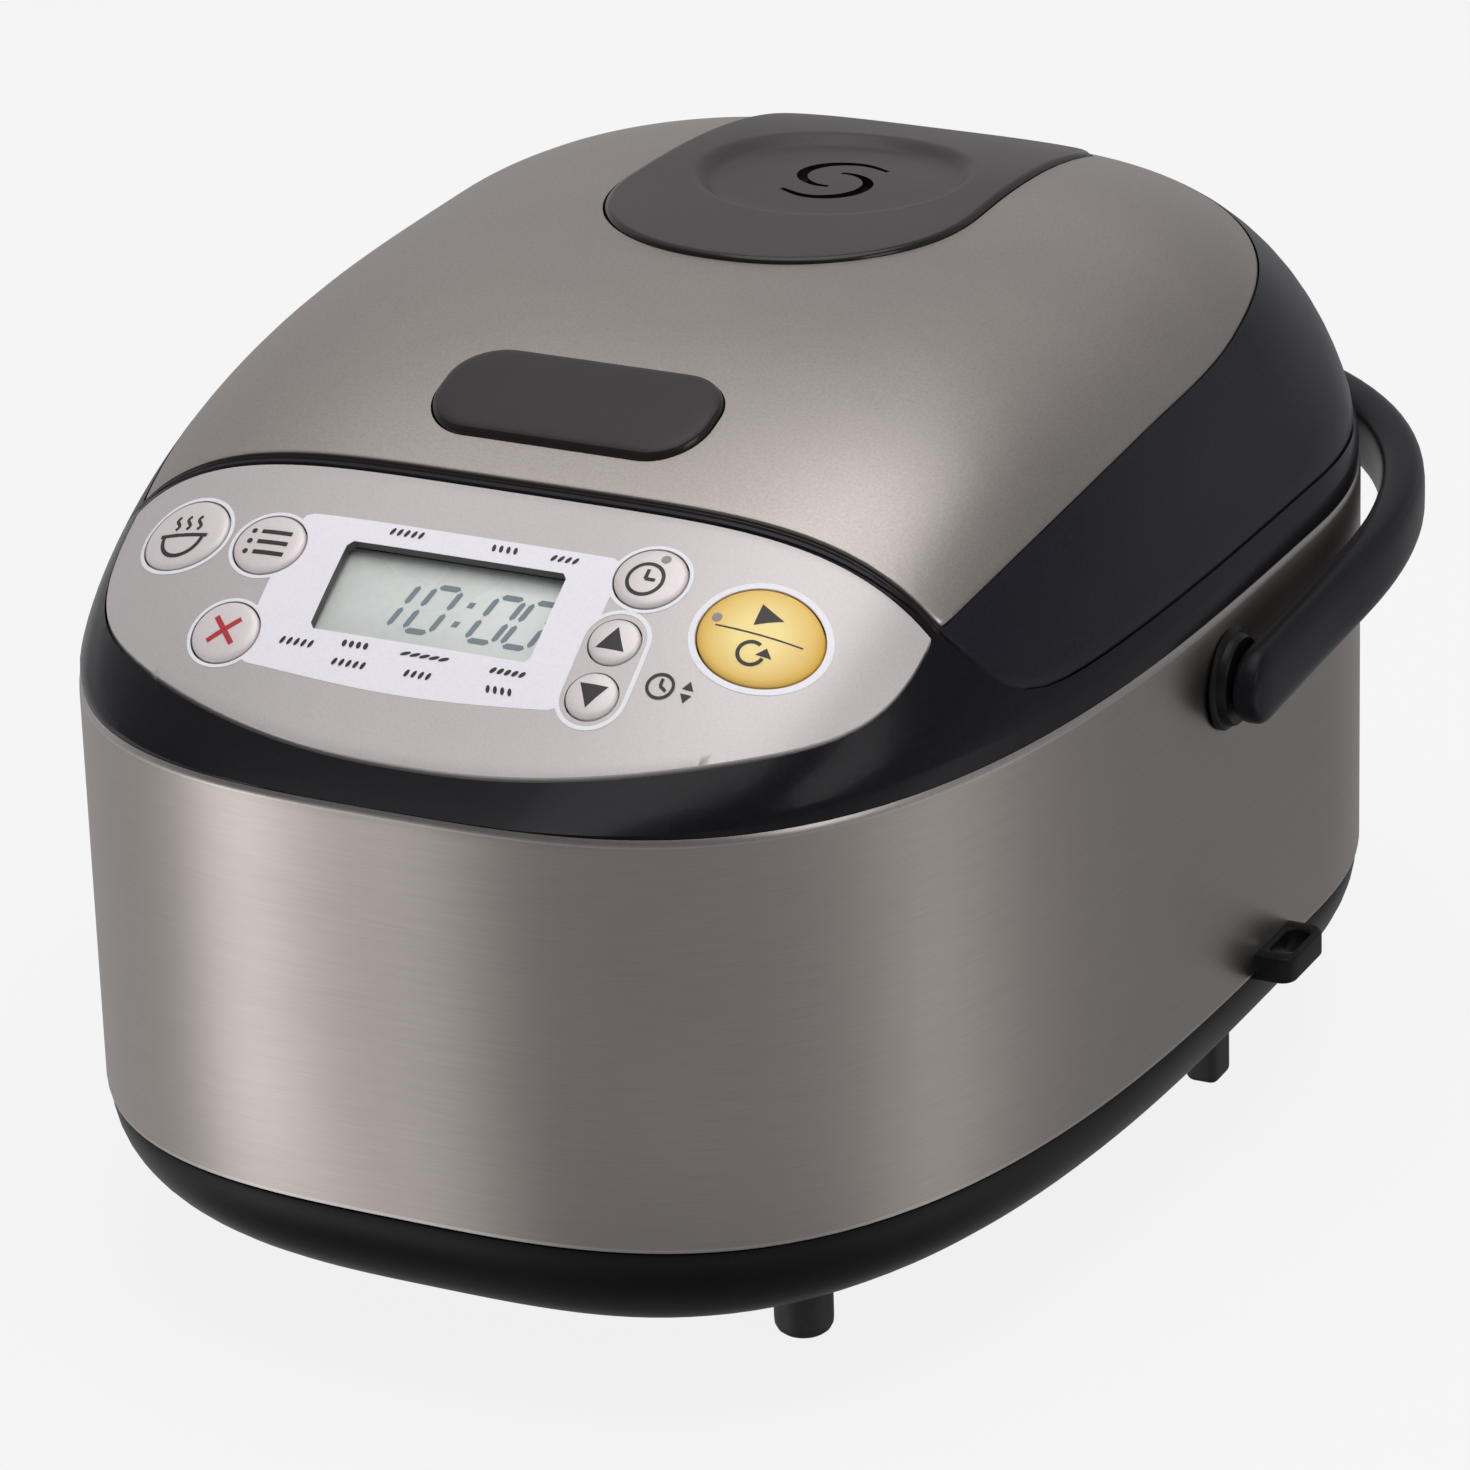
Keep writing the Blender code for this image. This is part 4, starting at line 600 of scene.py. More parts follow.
# %% Panel frame
KEYS = {"keep_warm": (-64.5, -104.6, 9.5, 8.1), "menu": (-44.6, -107.4, 7.4, 6.7),
        "cancel": (-45.4, -124.0, 6.9, 6.6), "timer": (33.6, -103.1, 7.1, 6.7),
        "start": (58.2, -108.3, 11.7, 10.4), "up": (32.2, -115.6, 5.0, 4.9),
        "down": (32.2, -125.3, 5.0, 4.9)}
WINDOW = (-28.8, 17.4, -121.6, -104.8)
ARROWS = (32.2, -120.45)
THROUGH = (-8, 4)


def on_panel(cx, cy, u, v, lift=0.0):
    """Points at u, v from a place on the panel, dropped along its normal onto the dome and lifted."""
    u, v, lift = np.broadcast_arrays(np.asarray(u, float), np.asarray(v, float), np.asarray(lift, float))
    centre = np.array([cx, cy, dome_z(cx, cy)])
    p = centre + np.column_stack([u, np.zeros(len(u)), np.zeros(len(u))]) + np.outer(v, SLOPE)
    low, high = np.full(len(u), -30.0), np.full(len(u), 30.0)
    for _ in range(34):
        mid = (low + high) / 2
        q = p + np.outer(mid, NORMAL)
        over = q[:, 2] > dome(q[:, 0], q[:, 1])
        low, high = np.where(over, low, mid), np.where(over, mid, high)
    return p + np.outer((low + high) / 2 + lift, NORMAL)


def oval(cx, cy, a, b, lift=0.0, n=64):
    t = turns(n)
    return on_panel(cx, cy, a * np.cos(t), b * np.sin(t), np.full(n, lift))


def window_ring(lift, corner=1.0, n=12):
    """Rounded outline of the display opening, following the dome."""
    x0, x1, y0, y1 = WINDOW
    flat = []
    corners = ((x0, y0), (x1, y0), (x1, y1), (x0, y1))
    for (ax, ay), (bx, by) in zip(corners, corners[1:] + corners[:1]):
        length = math.hypot(bx - ax, by - ay)
        for k in range(n + 1):
            s = (corner + (length - 2 * corner) * k / n) / length
            flat.append((ax + (bx - ax) * s, ay + (by - ay) * s))
    return on_dome(np.array(flat)) + NORMAL * lift


def key_tool(key, gap):
    """Cuts the room of a key, with a gap round it."""
    cx, cy, a, b = KEYS[key]
    return loft("hole", [oval(cx, cy, a + gap, b + gap, lift) for lift in THROUGH])


def window_tool():
    return loft("hole", [window_ring(lift) for lift in THROUGH])


# %% Panel plate
panel = lens_body("panel_plate", lens_edge(0.0, -0.35, PANEL_Y - 0.2, 119), -PANEL_THICK, 0.0,
                  [M["panel_silver"], M["lcd_frame"]], rows=22)
soften(panel, 0.3, 50, 2)
for key in KEYS:
    cut(panel, key_tool(key, 0.3))
# the walls of the display opening take the dark grey: a dark bezel, and painted shade in the recess
cut(panel, window_tool(), slot=1)
done(panel, "body_base", "control_panel", slot="panel_silver")

# %% [markdown]
# ## Keys
# Each key is an oval with a crowned face. A printed ring surrounds it on the panel, and a simple
# pictogram on its face tells what it does.

# %% Keys and their rings
CROWN = ((1.0, -3.0), (1.0, -0.1), (0.985, 0.2), (0.955, 0.42), (0.90, 0.58), (0.80, 0.70), (0.62, 0.80),
         (0.40, 0.87), (0.20, 0.90))


def key_lift(share):
    """Height of a key's face above the dome at a share of its radius."""
    r = np.array([s for s, _ in CROWN[::-1]])
    return np.interp(share, np.concatenate([[0.0], r]),
                     np.concatenate([[0.91], [h for _, h in CROWN[::-1]]]))


def over_key(name, lift):
    """The point over the middle of a key."""
    return on_panel(*KEYS[name][:2], [0], [0], lift)[0]


start_key_material(over_key("start", 0.8))
for name, (cx, cy, a, b) in KEYS.items():
    colour = "key_yellow" if name == "start" else "key_silver"
    rings = [oval(cx, cy, a * s, b * s, h) for s, h in CROWN]
    cap = loft("key_face_" + name, rings, [M[colour]], start=over_key(name, -3.0), end=over_key(name, 0.91))
    done(cap, "key_%s_body" % name, "key_" + name, slot=colour)


def band(name, inner, outer, mat, body, lift=0.07):
    """A flat printed band between two closed lines."""
    n = len(inner)
    faces = [(i, (i + 1) % n, n + (i + 1) % n, n + i) for i in range(n)]
    return done(make(name, np.vstack([inner, outer]) + NORMAL * lift, faces, [mat]), body)


for name, grow_in, grow_out in (("keep_warm", 0.35, 1.15), ("menu", 0.35, 1.1), ("cancel", 0.35, 1.05),
                                ("timer", 0.35, 1.1), ("start", 0.4, 1.6)):
    cx, cy, a, b = KEYS[name]
    band("ring_" + name, oval(cx, cy, a + grow_in, b + grow_in, n=96),
         oval(cx, cy, a + grow_out, b + grow_out, n=96), M["ring_white"], "body_base")


def pill(half, reach, lift=0.0, n=24):
    """Rounded outline that holds the two arrow keys."""
    t = np.pi * np.arange(n + 1) / n
    u = np.concatenate([half * np.cos(t), -half * np.cos(t)])
    v = np.concatenate([reach + half * np.sin(t), -reach - half * np.sin(t)])
    return on_panel(*ARROWS, u, v, np.full(len(u), lift))


band("ring_arrows", pill(6.2, 6.0), pill(7.1, 6.0), M["ring_white"], "body_base")

# %% [markdown]
# ## Print and pictograms
# Print is thin strips a few hundredths of a millimetre above the surface. No words are used: the
# keys carry plain signs, the places round the display carry small grain signs.

# %% Print helpers
def surface_point(place, u, v):
    """A point of the print: on the face of a key, or on the panel round a centre."""
    u, v = np.asarray(u, float), np.asarray(v, float)
    if isinstance(place, str):
        cx, cy, a, b = KEYS[place]
        return on_panel(cx, cy, u, v, key_lift(np.hypot(u / a, v / b)) + 0.06)
    return on_panel(place[0], place[1], u, v, np.full(len(u), 0.16))


def stroke(place, path, width=0.75, closed=False):
    """A ribbon along a path of (u, v) points, as points and faces."""
    p = np.array(path, float)
    if closed:
        ahead, behind = np.roll(p, -1, 0), np.roll(p, 1, 0)
    else:
        ahead, behind = np.vstack([p[1:], p[-1:]]), np.vstack([p[:1], p[:-1]])
    d = ahead - behind
    d /= np.maximum(np.hypot(d[:, 0], d[:, 1])[:, None], 1e-9)
    side = np.column_stack([-d[:, 1], d[:, 0]]) * width / 2
    both = np.vstack([p + side, p - side])
    n = len(p)
    faces = [(i, (i + 1) % n, n + (i + 1) % n, n + i) for i in range(n if closed else n - 1)]
    return surface_point(place, both[:, 0], both[:, 1]), faces


def patch(place, path):
    """A filled shape, as a fan round its middle."""
    p = np.array(path, float)
    p = np.vstack([p, p.mean(0)])
    n = len(path)
    return surface_point(place, p[:, 0], p[:, 1]), [(i, (i + 1) % n, n) for i in range(n)]


def printed(name, body, mat, *parts):
    points, faces = [], []
    for p, f in parts:
        faces += [[i + len(points) for i in face] for face in f]
        points += [tuple(q) for q in p]
    obj = make(name, points, faces, [mat])
    for poly in obj.data.polygons:
        if poly.normal.dot(Vector(NORMAL)) < 0:
            poly.flip()
    return done(obj, body)


def ring_path(r, cx=0.0, cy=0.0, start=0, stop=360, n=28):
    t = np.radians(np.linspace(start, stop, n))
    return np.column_stack([cx + r * np.cos(t), cy + r * np.sin(t)])


def bent(path, lean=0.26):
    """Leans a sign to the right like the figures of the display."""
    p = np.array(path, float)
    return np.column_stack([p[:, 0] + lean * p[:, 1], p[:, 1]])


# %% Signs on the keys
def on_key(kind, key, mat, *parts):
    return printed(kind + "_" + key, "key_%s_body" % key, M[mat], *parts)


wave = np.linspace(0, 1, 12)
steam = [stroke("keep_warm", np.column_stack([u + 0.55 * np.sin(wave * 2 * np.pi), 0.7 + 3.2 * wave]), 0.7)
         for u in (-2.6, 0.0, 2.6)]
on_key("sign", "keep_warm", "ink_black",
        stroke("keep_warm", ring_path(4.6, 0, -0.8, 180, 360), 0.85),
        stroke("keep_warm", [(-5.6, -0.6), (-2, -0.6), (2, -0.6), (5.6, -0.6)], 0.85), *steam)
on_key("sign", "menu", "ink_black",
        *[stroke("menu", [(-2.4, v), (0, v), (2, v), (4.2, v)], 0.95) for v in (2.4, 0.0, -2.4)],
        *[patch("menu", ring_path(0.6, -4.1, v, 0, 330, 12)) for v in (2.4, 0.0, -2.4)])
on_key("sign", "cancel", "ink_red",
        stroke("cancel", [(-2.7, -2.7), (-1, -1), (1, 1), (2.7, 2.7)], 1.1),
        stroke("cancel", [(-2.7, 2.7), (-1, 1), (1, -1), (2.7, -2.7)], 1.1))
on_key("sign", "timer", "ink_black",
        stroke("timer", ring_path(3.5, -0.6, -0.7, 0, 352), 0.75, closed=True),
        stroke("timer", [(-0.6, 1.5), (-0.6, 0.4), (-0.6, -0.7)], 0.75),
        stroke("timer", [(-0.6, -0.7), (0.4, -0.7), (1.4, -0.7)], 0.75))
on_key("sign", "start", "ink_black",
        patch("start", [(-1.6, 6.6), (-1.6, 4.1), (-1.6, 1.7), (0.8, 3.0), (3.4, 4.15), (0.8, 5.4)]),
        stroke("start", [(-8.4, 0.0), (-4, 0.0), (0, 0.0), (4, 0.0), (8.4, 0.0)], 0.35),
        stroke("start", ring_path(2.4, 0, -4.1, 60, 350), 0.75),
        patch("start", [(0.9, -4.2), (2.4, -4.2), (4.0, -4.2), (2.5, -2.3)]))
for name, way in (("up", 1), ("down", -1)):
    on_key("sign", name, "ink_black", patch(name, [(-2.9, -2.1 * way), (0, -2.1 * way), (2.9, -2.1 * way),
                                                   (1.4, 0.4 * way), (0, 2.9 * way), (-1.4, 0.4 * way)]))
on_key("lamp", "timer", "led_grey", patch("timer", ring_path(0.95, 1.6, 4.4, 0, 345, 24)))
on_key("lamp", "start", "led_grey", patch("start", ring_path(1.0, -8.7, 1.6, 0, 345, 24)))

# %% [markdown]
# ## Display
# A pale printed field surrounds the opening. The cell lies in it with a dark edge round it, stands
# for the window as well, and shows a clock time in leaning seven-segment figures. The dark edge is
# the wall of the opening in the panel: a dark bezel, and painted shade in the recess.

# %% Printed field
FIELD_X, FIELD_LONG, FIELD_CORNER = -41.2, 68.6, 3.0


def field_line(share_x):
    """Place across, upper edge and bowed lower edge of the field."""
    return FIELD_X + FIELD_LONG * share_x, -100.4, -128.6 - 1.9 * math.sin(math.pi * share_x)


def printed_field():
    cols, rows = 56, 22
    points, faces = [], []
    for i in range(cols + 1):
        x, top, low = field_line(i / cols)
        near = min(i, cols - i) / cols * FIELD_LONG
        away = FIELD_CORNER - min(near, FIELD_CORNER)
        pull = FIELD_CORNER - math.sqrt(max(0.0, FIELD_CORNER ** 2 - away ** 2))
        ys = np.linspace(low + pull, top - pull, rows + 1)
        points += [(x, y, dome_z(x, y) + 0.09) for y in ys]
    for i in range(cols):
        for k in range(rows):
            q = i * (rows + 1) + k
            faces.append((q, q + rows + 1, q + rows + 2, q + 1))
    return make("printed_field", points, faces, [M["print_white"]])


field = printed_field()
thick = field.modifiers.new("film", "SOLIDIFY")
thick.thickness, thick.offset = 0.12 * MM, -1
bake(field)
cut(field, window_tool(), *[key_tool(k, 0.4) for k in ("menu", "cancel", "timer")],
    loft("hole", [pill(6.3, 6.0, lift) for lift in THROUGH]))
done(field, "body_base")

# %% Display cell and its figures
def cell_point(x, v, h):
    """A point of the flat cell: x across, v up the slope from its middle, h along the normal."""
    return ORIGIN + np.array([x, 0, 0]) + SLOPE * v + NORMAL * h


LCD = -2.6
x0, x1 = WINDOW[0] - 1.2, WINDOW[1] + 1.2
corners = [cell_point(x, v, h) for x in (x0, x1) for v in (-11.3, 11.3) for h in (LCD - 1.4, LCD)]
face = make("display_cell", corners, BOX_FACES, [M["lcd_face"]])
done(soften(outward(face), 0.3), "body_base", "display_module", "display_window", slot="display_window")


def segment(cx, cy, along, length, width):
    """One pointed bar of a figure."""
    h, w = length / 2, width / 2
    shape = [(-h, 0), (-h + w, w), (h - w, w), (h, 0), (h - w, -w), (-h + w, -w)]
    return [(cx + (a if along else b), cy + (b if along else a)) for a, b in shape]


BARS = {"a": (0, 4.3, True), "d": (0, -4.3, True), "f": (-2.4, 2.15, False),
        "b": (2.4, 2.15, False), "e": (-2.4, -2.15, False), "c": (2.4, -2.15, False)}
FIGURES = ((-16.4, "bc"), (-7.5, "abcdef"), (5.6, "abcdef"), (13.0, "abcdef"))
points, faces = [], []


def lay(shape, shift):
    """Adds one leaning shape of the display to the list."""
    p = bent(np.array(shape) * np.array([1.15, 1.24]))
    first = len(points)
    points.extend(cell_point(x + shift, v - 0.2, LCD + 0.05) for x, v in p)
    faces.append(list(range(first, len(points))))


for shift, bars in FIGURES:
    for bar in bars:
        cx, cy, along = BARS[bar]
        lay(segment(cx, cy, along, 3.9 if along else 3.7, 1.05), shift)
for v in (1.9, -1.9):
    lay([(a, b + v) for a, b in ((-0.55, -0.55), (0.55, -0.55), (0.55, 0.55), (-0.55, 0.55))], -1.1)
done(make("display_figures", points, faces, [M["lcd_segment"]]), "body_base")

# %% Signs round the display
def grain(u, v, turn, length, width):
    t = np.linspace(0, 2 * np.pi, 15)[:-1]
    a = math.radians(turn)
    p, q = length / 2 * np.cos(t), width / 2 * np.sin(t)
    return np.column_stack([u + p * math.cos(a) - q * math.sin(a), v + p * math.sin(a) + q * math.cos(a)])


def grains(place, count, gap, turn, length, width):
    return [patch(place, grain((i - (count - 1) / 2) * gap, 0, turn, length, width)) for i in range(count)]


SIGNS = ((-17.9, -101.9, 5, 1.5, 70, 1.8, 0.8), (2.8, -102.1, 4, 1.5, 100, 1.7, 0.8),
         (15.4, -102.2, 4, 1.5, 60, 1.7, 0.8), (-29.9, -124.3, 5, 1.5, 70, 1.8, 0.8),
         (-18.0, -123.3, 4, 1.5, 90, 1.5, 0.95), (-17.7, -126.6, 5, 1.5, 70, 1.7, 0.8),
         (-3.3, -123.4, 5, 2.0, 20, 2.2, 0.7), (-3.2, -126.6, 4, 1.5, 70, 1.7, 0.8),
         (14.2, -123.8, 5, 1.5, 50, 1.6, 0.9), (13.9, -127.0, 4, 1.5, 110, 1.7, 0.8))
signs = []
for x, y, *shape in SIGNS:
    signs += grains((x, y), *shape)
printed("signs_display", "body_base", M["ink_black"], *signs)
clock = (44.2, -121.2)
printed("sign_setting", "body_base", M["ink_black"],
        stroke(clock, ring_path(2.5, 0, 0, 0, 350), 0.6, closed=True),
        stroke(clock, [(0, 1.6), (0, 0.8), (0, 0)], 0.6),
        stroke(clock, [(0, 0), (0.7, -0.4), (1.3, -0.8)], 0.6),
        patch(clock, [(4.2, 0.4), (5.3, 0.4), (6.4, 0.4), (5.3, 2.2)]),
        patch(clock, [(4.2, -0.6), (5.3, -0.6), (6.4, -0.6), (5.3, -2.4)]))

# %% [markdown]
# ## Lid
# The dark frame of the lid carries a satin steel skin. A brown strip fills the step in front of it.
# Both are open for the release button and for the steam cap.

# %% Lid frame
def cap_line(inset, n=150):
    """Outline of the steam cap, with directions that meet both rear corners."""
    corner = math.atan2(CAP_Y1 - DISH_Y, CAP_HALF - 2)
    marks = [(-math.pi / 2, 0.0), (corner, 0.375), (math.pi - corner, 0.625), (1.5 * math.pi, 1.0)]
    share = np.arange(n) / n
    angles = np.interp(share, [m[1] for m in marks], [m[0] for m in marks])
    return outline(lambda x, y: gauge_cap(x, y, inset), (0.0, DISH_Y), angles)


def rounded(cx, cy, hx, hy, r, per=10, straight=1):
    """Rounded rectangle; straight parts its long sides, so that they can follow the dome."""
    out = []
    for qx, qy, a0 in ((1, 1, 0), (-1, 1, 90), (-1, -1, 180), (1, -1, 270)):
        for k in range(per + 1):
            a = math.radians(a0 + 90 * k / per)
            out.append((cx + qx * (hx - r) + r * math.cos(a), cy + qy * (hy - r) + r * math.sin(a)))
        if qx == qy:
            a, b = out[-1], (out[-1][0] - 2 * qx * (hx - r), out[-1][1])
            out += [(a[0] + (b[0] - a[0]) * k / straight, a[1]) for k in range(1, straight)]
    return np.array(out)


def button_line(grow):
    return rounded(0, BUTTON_Y, BUTTON_HX + grow, BUTTON_HY + grow, BUTTON_R + grow, 14, 18)


def lid_openings():
    return prism("hole", cap_line(-0.4), 140, 200), prism("hole", button_line(0.3), 140, 200)


def lid_frame():
    edge, recess = lid_line(0.0), outline(lambda x, y: gauge_skin(x, y, -0.3, TRIM_FRONT_Y))
    far = np.hypot(edge[:, 0], edge[:, 1] - Y_WIDEST)
    near = np.minimum(np.hypot(recess[:, 0], recess[:, 1] - Y_WIDEST), far - 0.8)
    recess = scaled(edge, near / far)
    soft = mixed(edge, recess, 0.03)
    rings = [at(edge, Z_LID), at(edge, np.maximum(dome(edge[:, 0], edge[:, 1]) - 0.8, Z_LID + 0.2)),
             on_dome(soft, -0.05)]
    rings += [on_dome(mixed(edge, recess, s)) for s in (0.08, 0.15, 0.24, 0.35, 0.48, 0.62, 0.76, 0.9, 1.0)]
    rings += [on_dome(recess, -RECESS)]
    rings += [on_dome(scaled(recess, s), -RECESS) for s in (0.93, 0.8, 0.62, 0.4, 0.2)]
    inner = lid_line(-2.4)
    thick = RECESS + 2.2
    low = [at(inner, Z_LID), at(inner, np.minimum(dome(inner[:, 0], inner[:, 1]) - 4.5, 160))]
    low += [on_dome(scaled(inner, s), -thick) for s in (0.97, 0.9, 0.75, 0.5, 0.25)]
    top = dome_z(0, Y_WIDEST)
    body = loft("lid_body", rings[::-1] + low, [M["satin_dark"]], start=(0, Y_WIDEST, top - RECESS),
                end=(0, Y_WIDEST, top - thick))
    cut(body, *lid_openings(), block("notch", (-35.2, 35.2), (123.5, 140), (125, 141.5)))
    return hinge_barrels(body, 14.3, 23.9, (125.4, 129.1), (134.8, 148.3))


done(lid_frame(), "lid", "lid_frame", slot="satin_dark", angle=42)

# %% Lid skin
def lid_skin():
    def line(inset):
        return outline(lambda x, y: gauge_skin(x, y, inset))
    edge, inside = line(0.0), line(2.4)
    rings = [on_dome(edge, -1.5), on_dome(edge, -0.55), on_dome(line(0.12), -0.22),
             on_dome(line(0.4), -0.04), on_dome(line(0.8), 0.0), on_dome(inside, 0.0)]
    shares = (0.985, 0.96, 0.93, 0.89, 0.84, 0.78, 0.71, 0.63, 0.54, 0.44, 0.34, 0.24, 0.14, 0.05)
    rings += [on_dome(scaled(inside, s)) for s in shares]
    below = [on_dome(scaled(inside, s), -1.5) for s in (1.0, 0.6, 0.3, 0.05)]
    top = dome_z(0, Y_WIDEST)
    skin = loft("lid_plate", rings[::-1] + below, [M["satin_steel"], M["steel_edge"]],
                start=(0, Y_WIDEST, top), end=(0, Y_WIDEST, top - 1.5))
    for poly in skin.data.polygons:
        x, y, _ = (c / MM for c in poly.center)
        if float(gauge_skin(x, y, 0.5)) > 1 and y < -84:
            poly.material_index = 1
    return cut(skin, *lid_openings())


done(lid_skin(), "lid", "lid_skin", slot="satin_steel", angle=50)

# %% Strip in front of the skin
def strip(name, y0, y1, profile, half, mat):
    """A strip along the front of the lid: profile gives (share across, lift) pairs."""
    rings = []
    for x in np.linspace(-half, half, 121):
        rings.append([(x, y0 + (y1 - y0) * s, dome_z(x, y0 + (y1 - y0) * s) + h) for s, h in profile])
    return loft(name, rings, [mat])


trim = strip("front_strip", TRIM_FRONT_Y + 0.1, SKIN_FRONT_Y - 0.1,
             [(0, -1.6), (0, -0.2), (0.12, 0.12), (0.32, 0.2), (0.44, 0.02), (0.52, -0.1), (0.60, 0.02),
              (0.72, 0.2), (0.9, 0.12), (1, -0.2), (1, -1.6)], 84.6, M["trim_brown"])
done(trim, "lid", "lid_trim", slot="trim_brown", angle=60)

# %% [markdown]
# ## Release button and steam cap
# The button is a soft-edged bar with a glossy flank. The cap is D-shaped, with a round dish and two
# curved vents, and its flank is glossy too. The vents are shallow pockets whose walls and floor take
# the dark glossy brown as painted shade.

# %% Button
steps = ((0.0, -9.0), (0.0, -0.2), (-0.15, 0.5), (-0.6, 1.15), (-1.3, 1.5), (-2.2, 1.62), (-3.6, 1.72),
         (-6.0, 1.85))
rings = [on_dome(button_line(g), h) for g, h in steps]
flat = button_line(-6.0)
rings += [on_dome(scaled(flat, s, BUTTON_Y), 1.9) for s in (0.75, 0.5, 0.25)]
button = loft("release_button", rings, [M["brown_button"], M["brown_gloss"]],
              start=(0, BUTTON_Y, dome_z(0, BUTTON_Y) - 9.0), end=(0, BUTTON_Y, dome_z(0, BUTTON_Y) + 1.9),
              slots=[1, 1, 1, 0, 0, 0, 0, 0, 0, 0, 0])
done(button, "button", "lid_button", slot="brown_plastic", angle=60)

# %% Steam cap
DISH_R, DISH_SLOPE, DISH_DEEP, CAP_LIFT, VENT_DEEP = 28.6, 4.2, 2.4, 0.95, 2.4


def dish(points):
    """Drops points onto the top of the cap, with its dish."""
    r = np.hypot(points[:, 0], points[:, 1] - DISH_Y)
    share = np.clip((DISH_R - r) / DISH_SLOPE, 0.0, 1.0)
    share = share * share * (3 - 2 * share)
    return at(points, dome(points[:, 0], points[:, 1]) + CAP_LIFT - DISH_DEEP * share)


def cap_circle(radius):
    edge = cap_line(0.0)
    away = np.hypot(edge[:, 0], edge[:, 1] - DISH_Y)
    return scaled(edge, radius / away, DISH_Y)


def hook_path(side):
    """A vent: a thin hook, widest at its bend, that curls round the tail of its twin."""
    knots = np.array([(7.6, 8.9), (5.8, 9.8), (3.2, 11.1), (0.3, 11.5), (-2.3, 10.9), (-4.7, 9.6),
                      (-6.6, 7.7), (-7.8, 5.0), (-8.1, 2.4), (-7.5, 0.0), (-6.0, -2.2), (-3.8, -3.8),
                      (-1.6, -4.5), (0.6, -4.4)])
    share = np.linspace(0, 1, len(knots))
    fine = np.linspace(0, 1, 44)
    mid = np.column_stack([np.interp(fine, share, knots[:, k]) for k in (0, 1)])
    for _ in range(3):
        mid[1:-1] = (mid[:-2] + 2 * mid[1:-1] + mid[2:]) / 4
    d = np.gradient(mid, axis=0)
    d /= np.hypot(d[:, 0], d[:, 1])[:, None]
    half = 0.55 + 0.75 * np.sin(np.pi * fine) ** 1.5
    out = np.column_stack([-d[:, 1], d[:, 0]]) * half[:, None]
    return np.vstack([mid + out, (mid - out)[::-1]]) * side + np.array([0.0, DISH_Y])


def steam_cap():
    rings = [at(cap_line(0.0), Z_WELL + 0.3), on_dome(cap_line(0.0), -0.3), on_dome(cap_line(0.15), 0.3),
             on_dome(cap_line(0.6), 0.75), on_dome(cap_line(1.2), 0.93)]
    inside, ring = cap_line(1.9), cap_circle(29.6)
    rings += [dish(inside)] + [dish(mixed(inside, ring, s)) for s in (0.3, 0.6, 0.85)]
    steep = (DISH_R, 28, 27.5, 27, 26.5, 26, 25.5, 25, 24.4)
    rings += [dish(cap_circle(r)) for r in (29.6, *steep, 20, 15, 9, 3)]
    middle = dish(np.array([[0.0, DISH_Y]]))[0]
    cap = loft("vent_cap", rings, [M["brown_plastic"], M["brown_gloss"]], start=(0, DISH_Y, Z_WELL + 0.3),
               end=middle, slots=[1, 1, 1, 1] + [0] * 40)
    for side in (-1, 1):
        # the walls and floor of each vent pocket take the dark glossy brown: painted shade in the vent
        cut(cap, prism("vent", hook_path(side), middle[2] - VENT_DEEP, 200), slot=1)
    return cap


done(steam_cap(), "cap", "steam_cap", slot="brown_plastic", angle=45)

# %% [markdown]
# ## Handle, bosses and hanging eye
# The handle is one bar swept around the back of the body. Its arms have a flat top and a round
# outer face, and end round at the pivots.

# %% Handle
def handle_bar():
    t = np.linspace(0, np.pi / 2, 40)[1:]
    g = (np.cos(t) ** 2.5 + np.sin(t) ** 2.5) ** (-1 / 2.5)
    ends = PIVOT_Y - 8.2 * np.cos(np.linspace(0, np.pi / 2, 10))
    arm = np.concatenate([ends, np.linspace(PIVOT_Y, Y_WIDEST, 12)[1:]])
    path = np.vstack([np.column_stack([np.full(len(arm), ARM_X), arm]),
                      np.column_stack([ARM_X * g * np.cos(t),
                                       Y_WIDEST + (CROSS_Y - Y_WIDEST) * g * np.sin(t)])])
    path[-1, 0] = 0.0
    path = np.vstack([path, path[-2::-1] * np.array([-1, 1])])
    d = np.gradient(path, axis=0)
    d /= np.hypot(d[:, 0], d[:, 1])[:, None]
    around = np.linspace(0, 2 * np.pi, 37)[:-1]
    rings = []
    for (x, y), (dx, dy) in zip(path, d):
        share = min(1.0, max(0.0, (y - PIVOT_Y) / (CROSS_Y - PIVOT_Y)))
        thick, tall = 6.6 + 2.8 * min(1.0, share / 0.6) ** 2, 15.6 - share
        z = PIVOT_Z + (CROSS_Z - PIVOT_Z) * share
        if y < PIVOT_Y:
            round_off = math.sqrt(max(0.0, 1 - ((PIVOT_Y - y) / 8.3) ** 2))
            tall, thick = tall * round_off, thick * (0.55 + 0.45 * round_off)
        c, s = np.cos(around), np.sin(around)
        power = 2 / 3.2
        a = np.sign(c) * np.abs(c) ** power * thick / 2
        b = np.sign(s) * np.abs(s) ** power * tall / 2
        rings.append(np.column_stack([x + dy * a, y - dx * a, z + b]))
    return loft("handle_bar", rings, [M["handle_black"]])


done(handle_bar(), "carry_handle", "handle", slot="handle_black", angle=70)

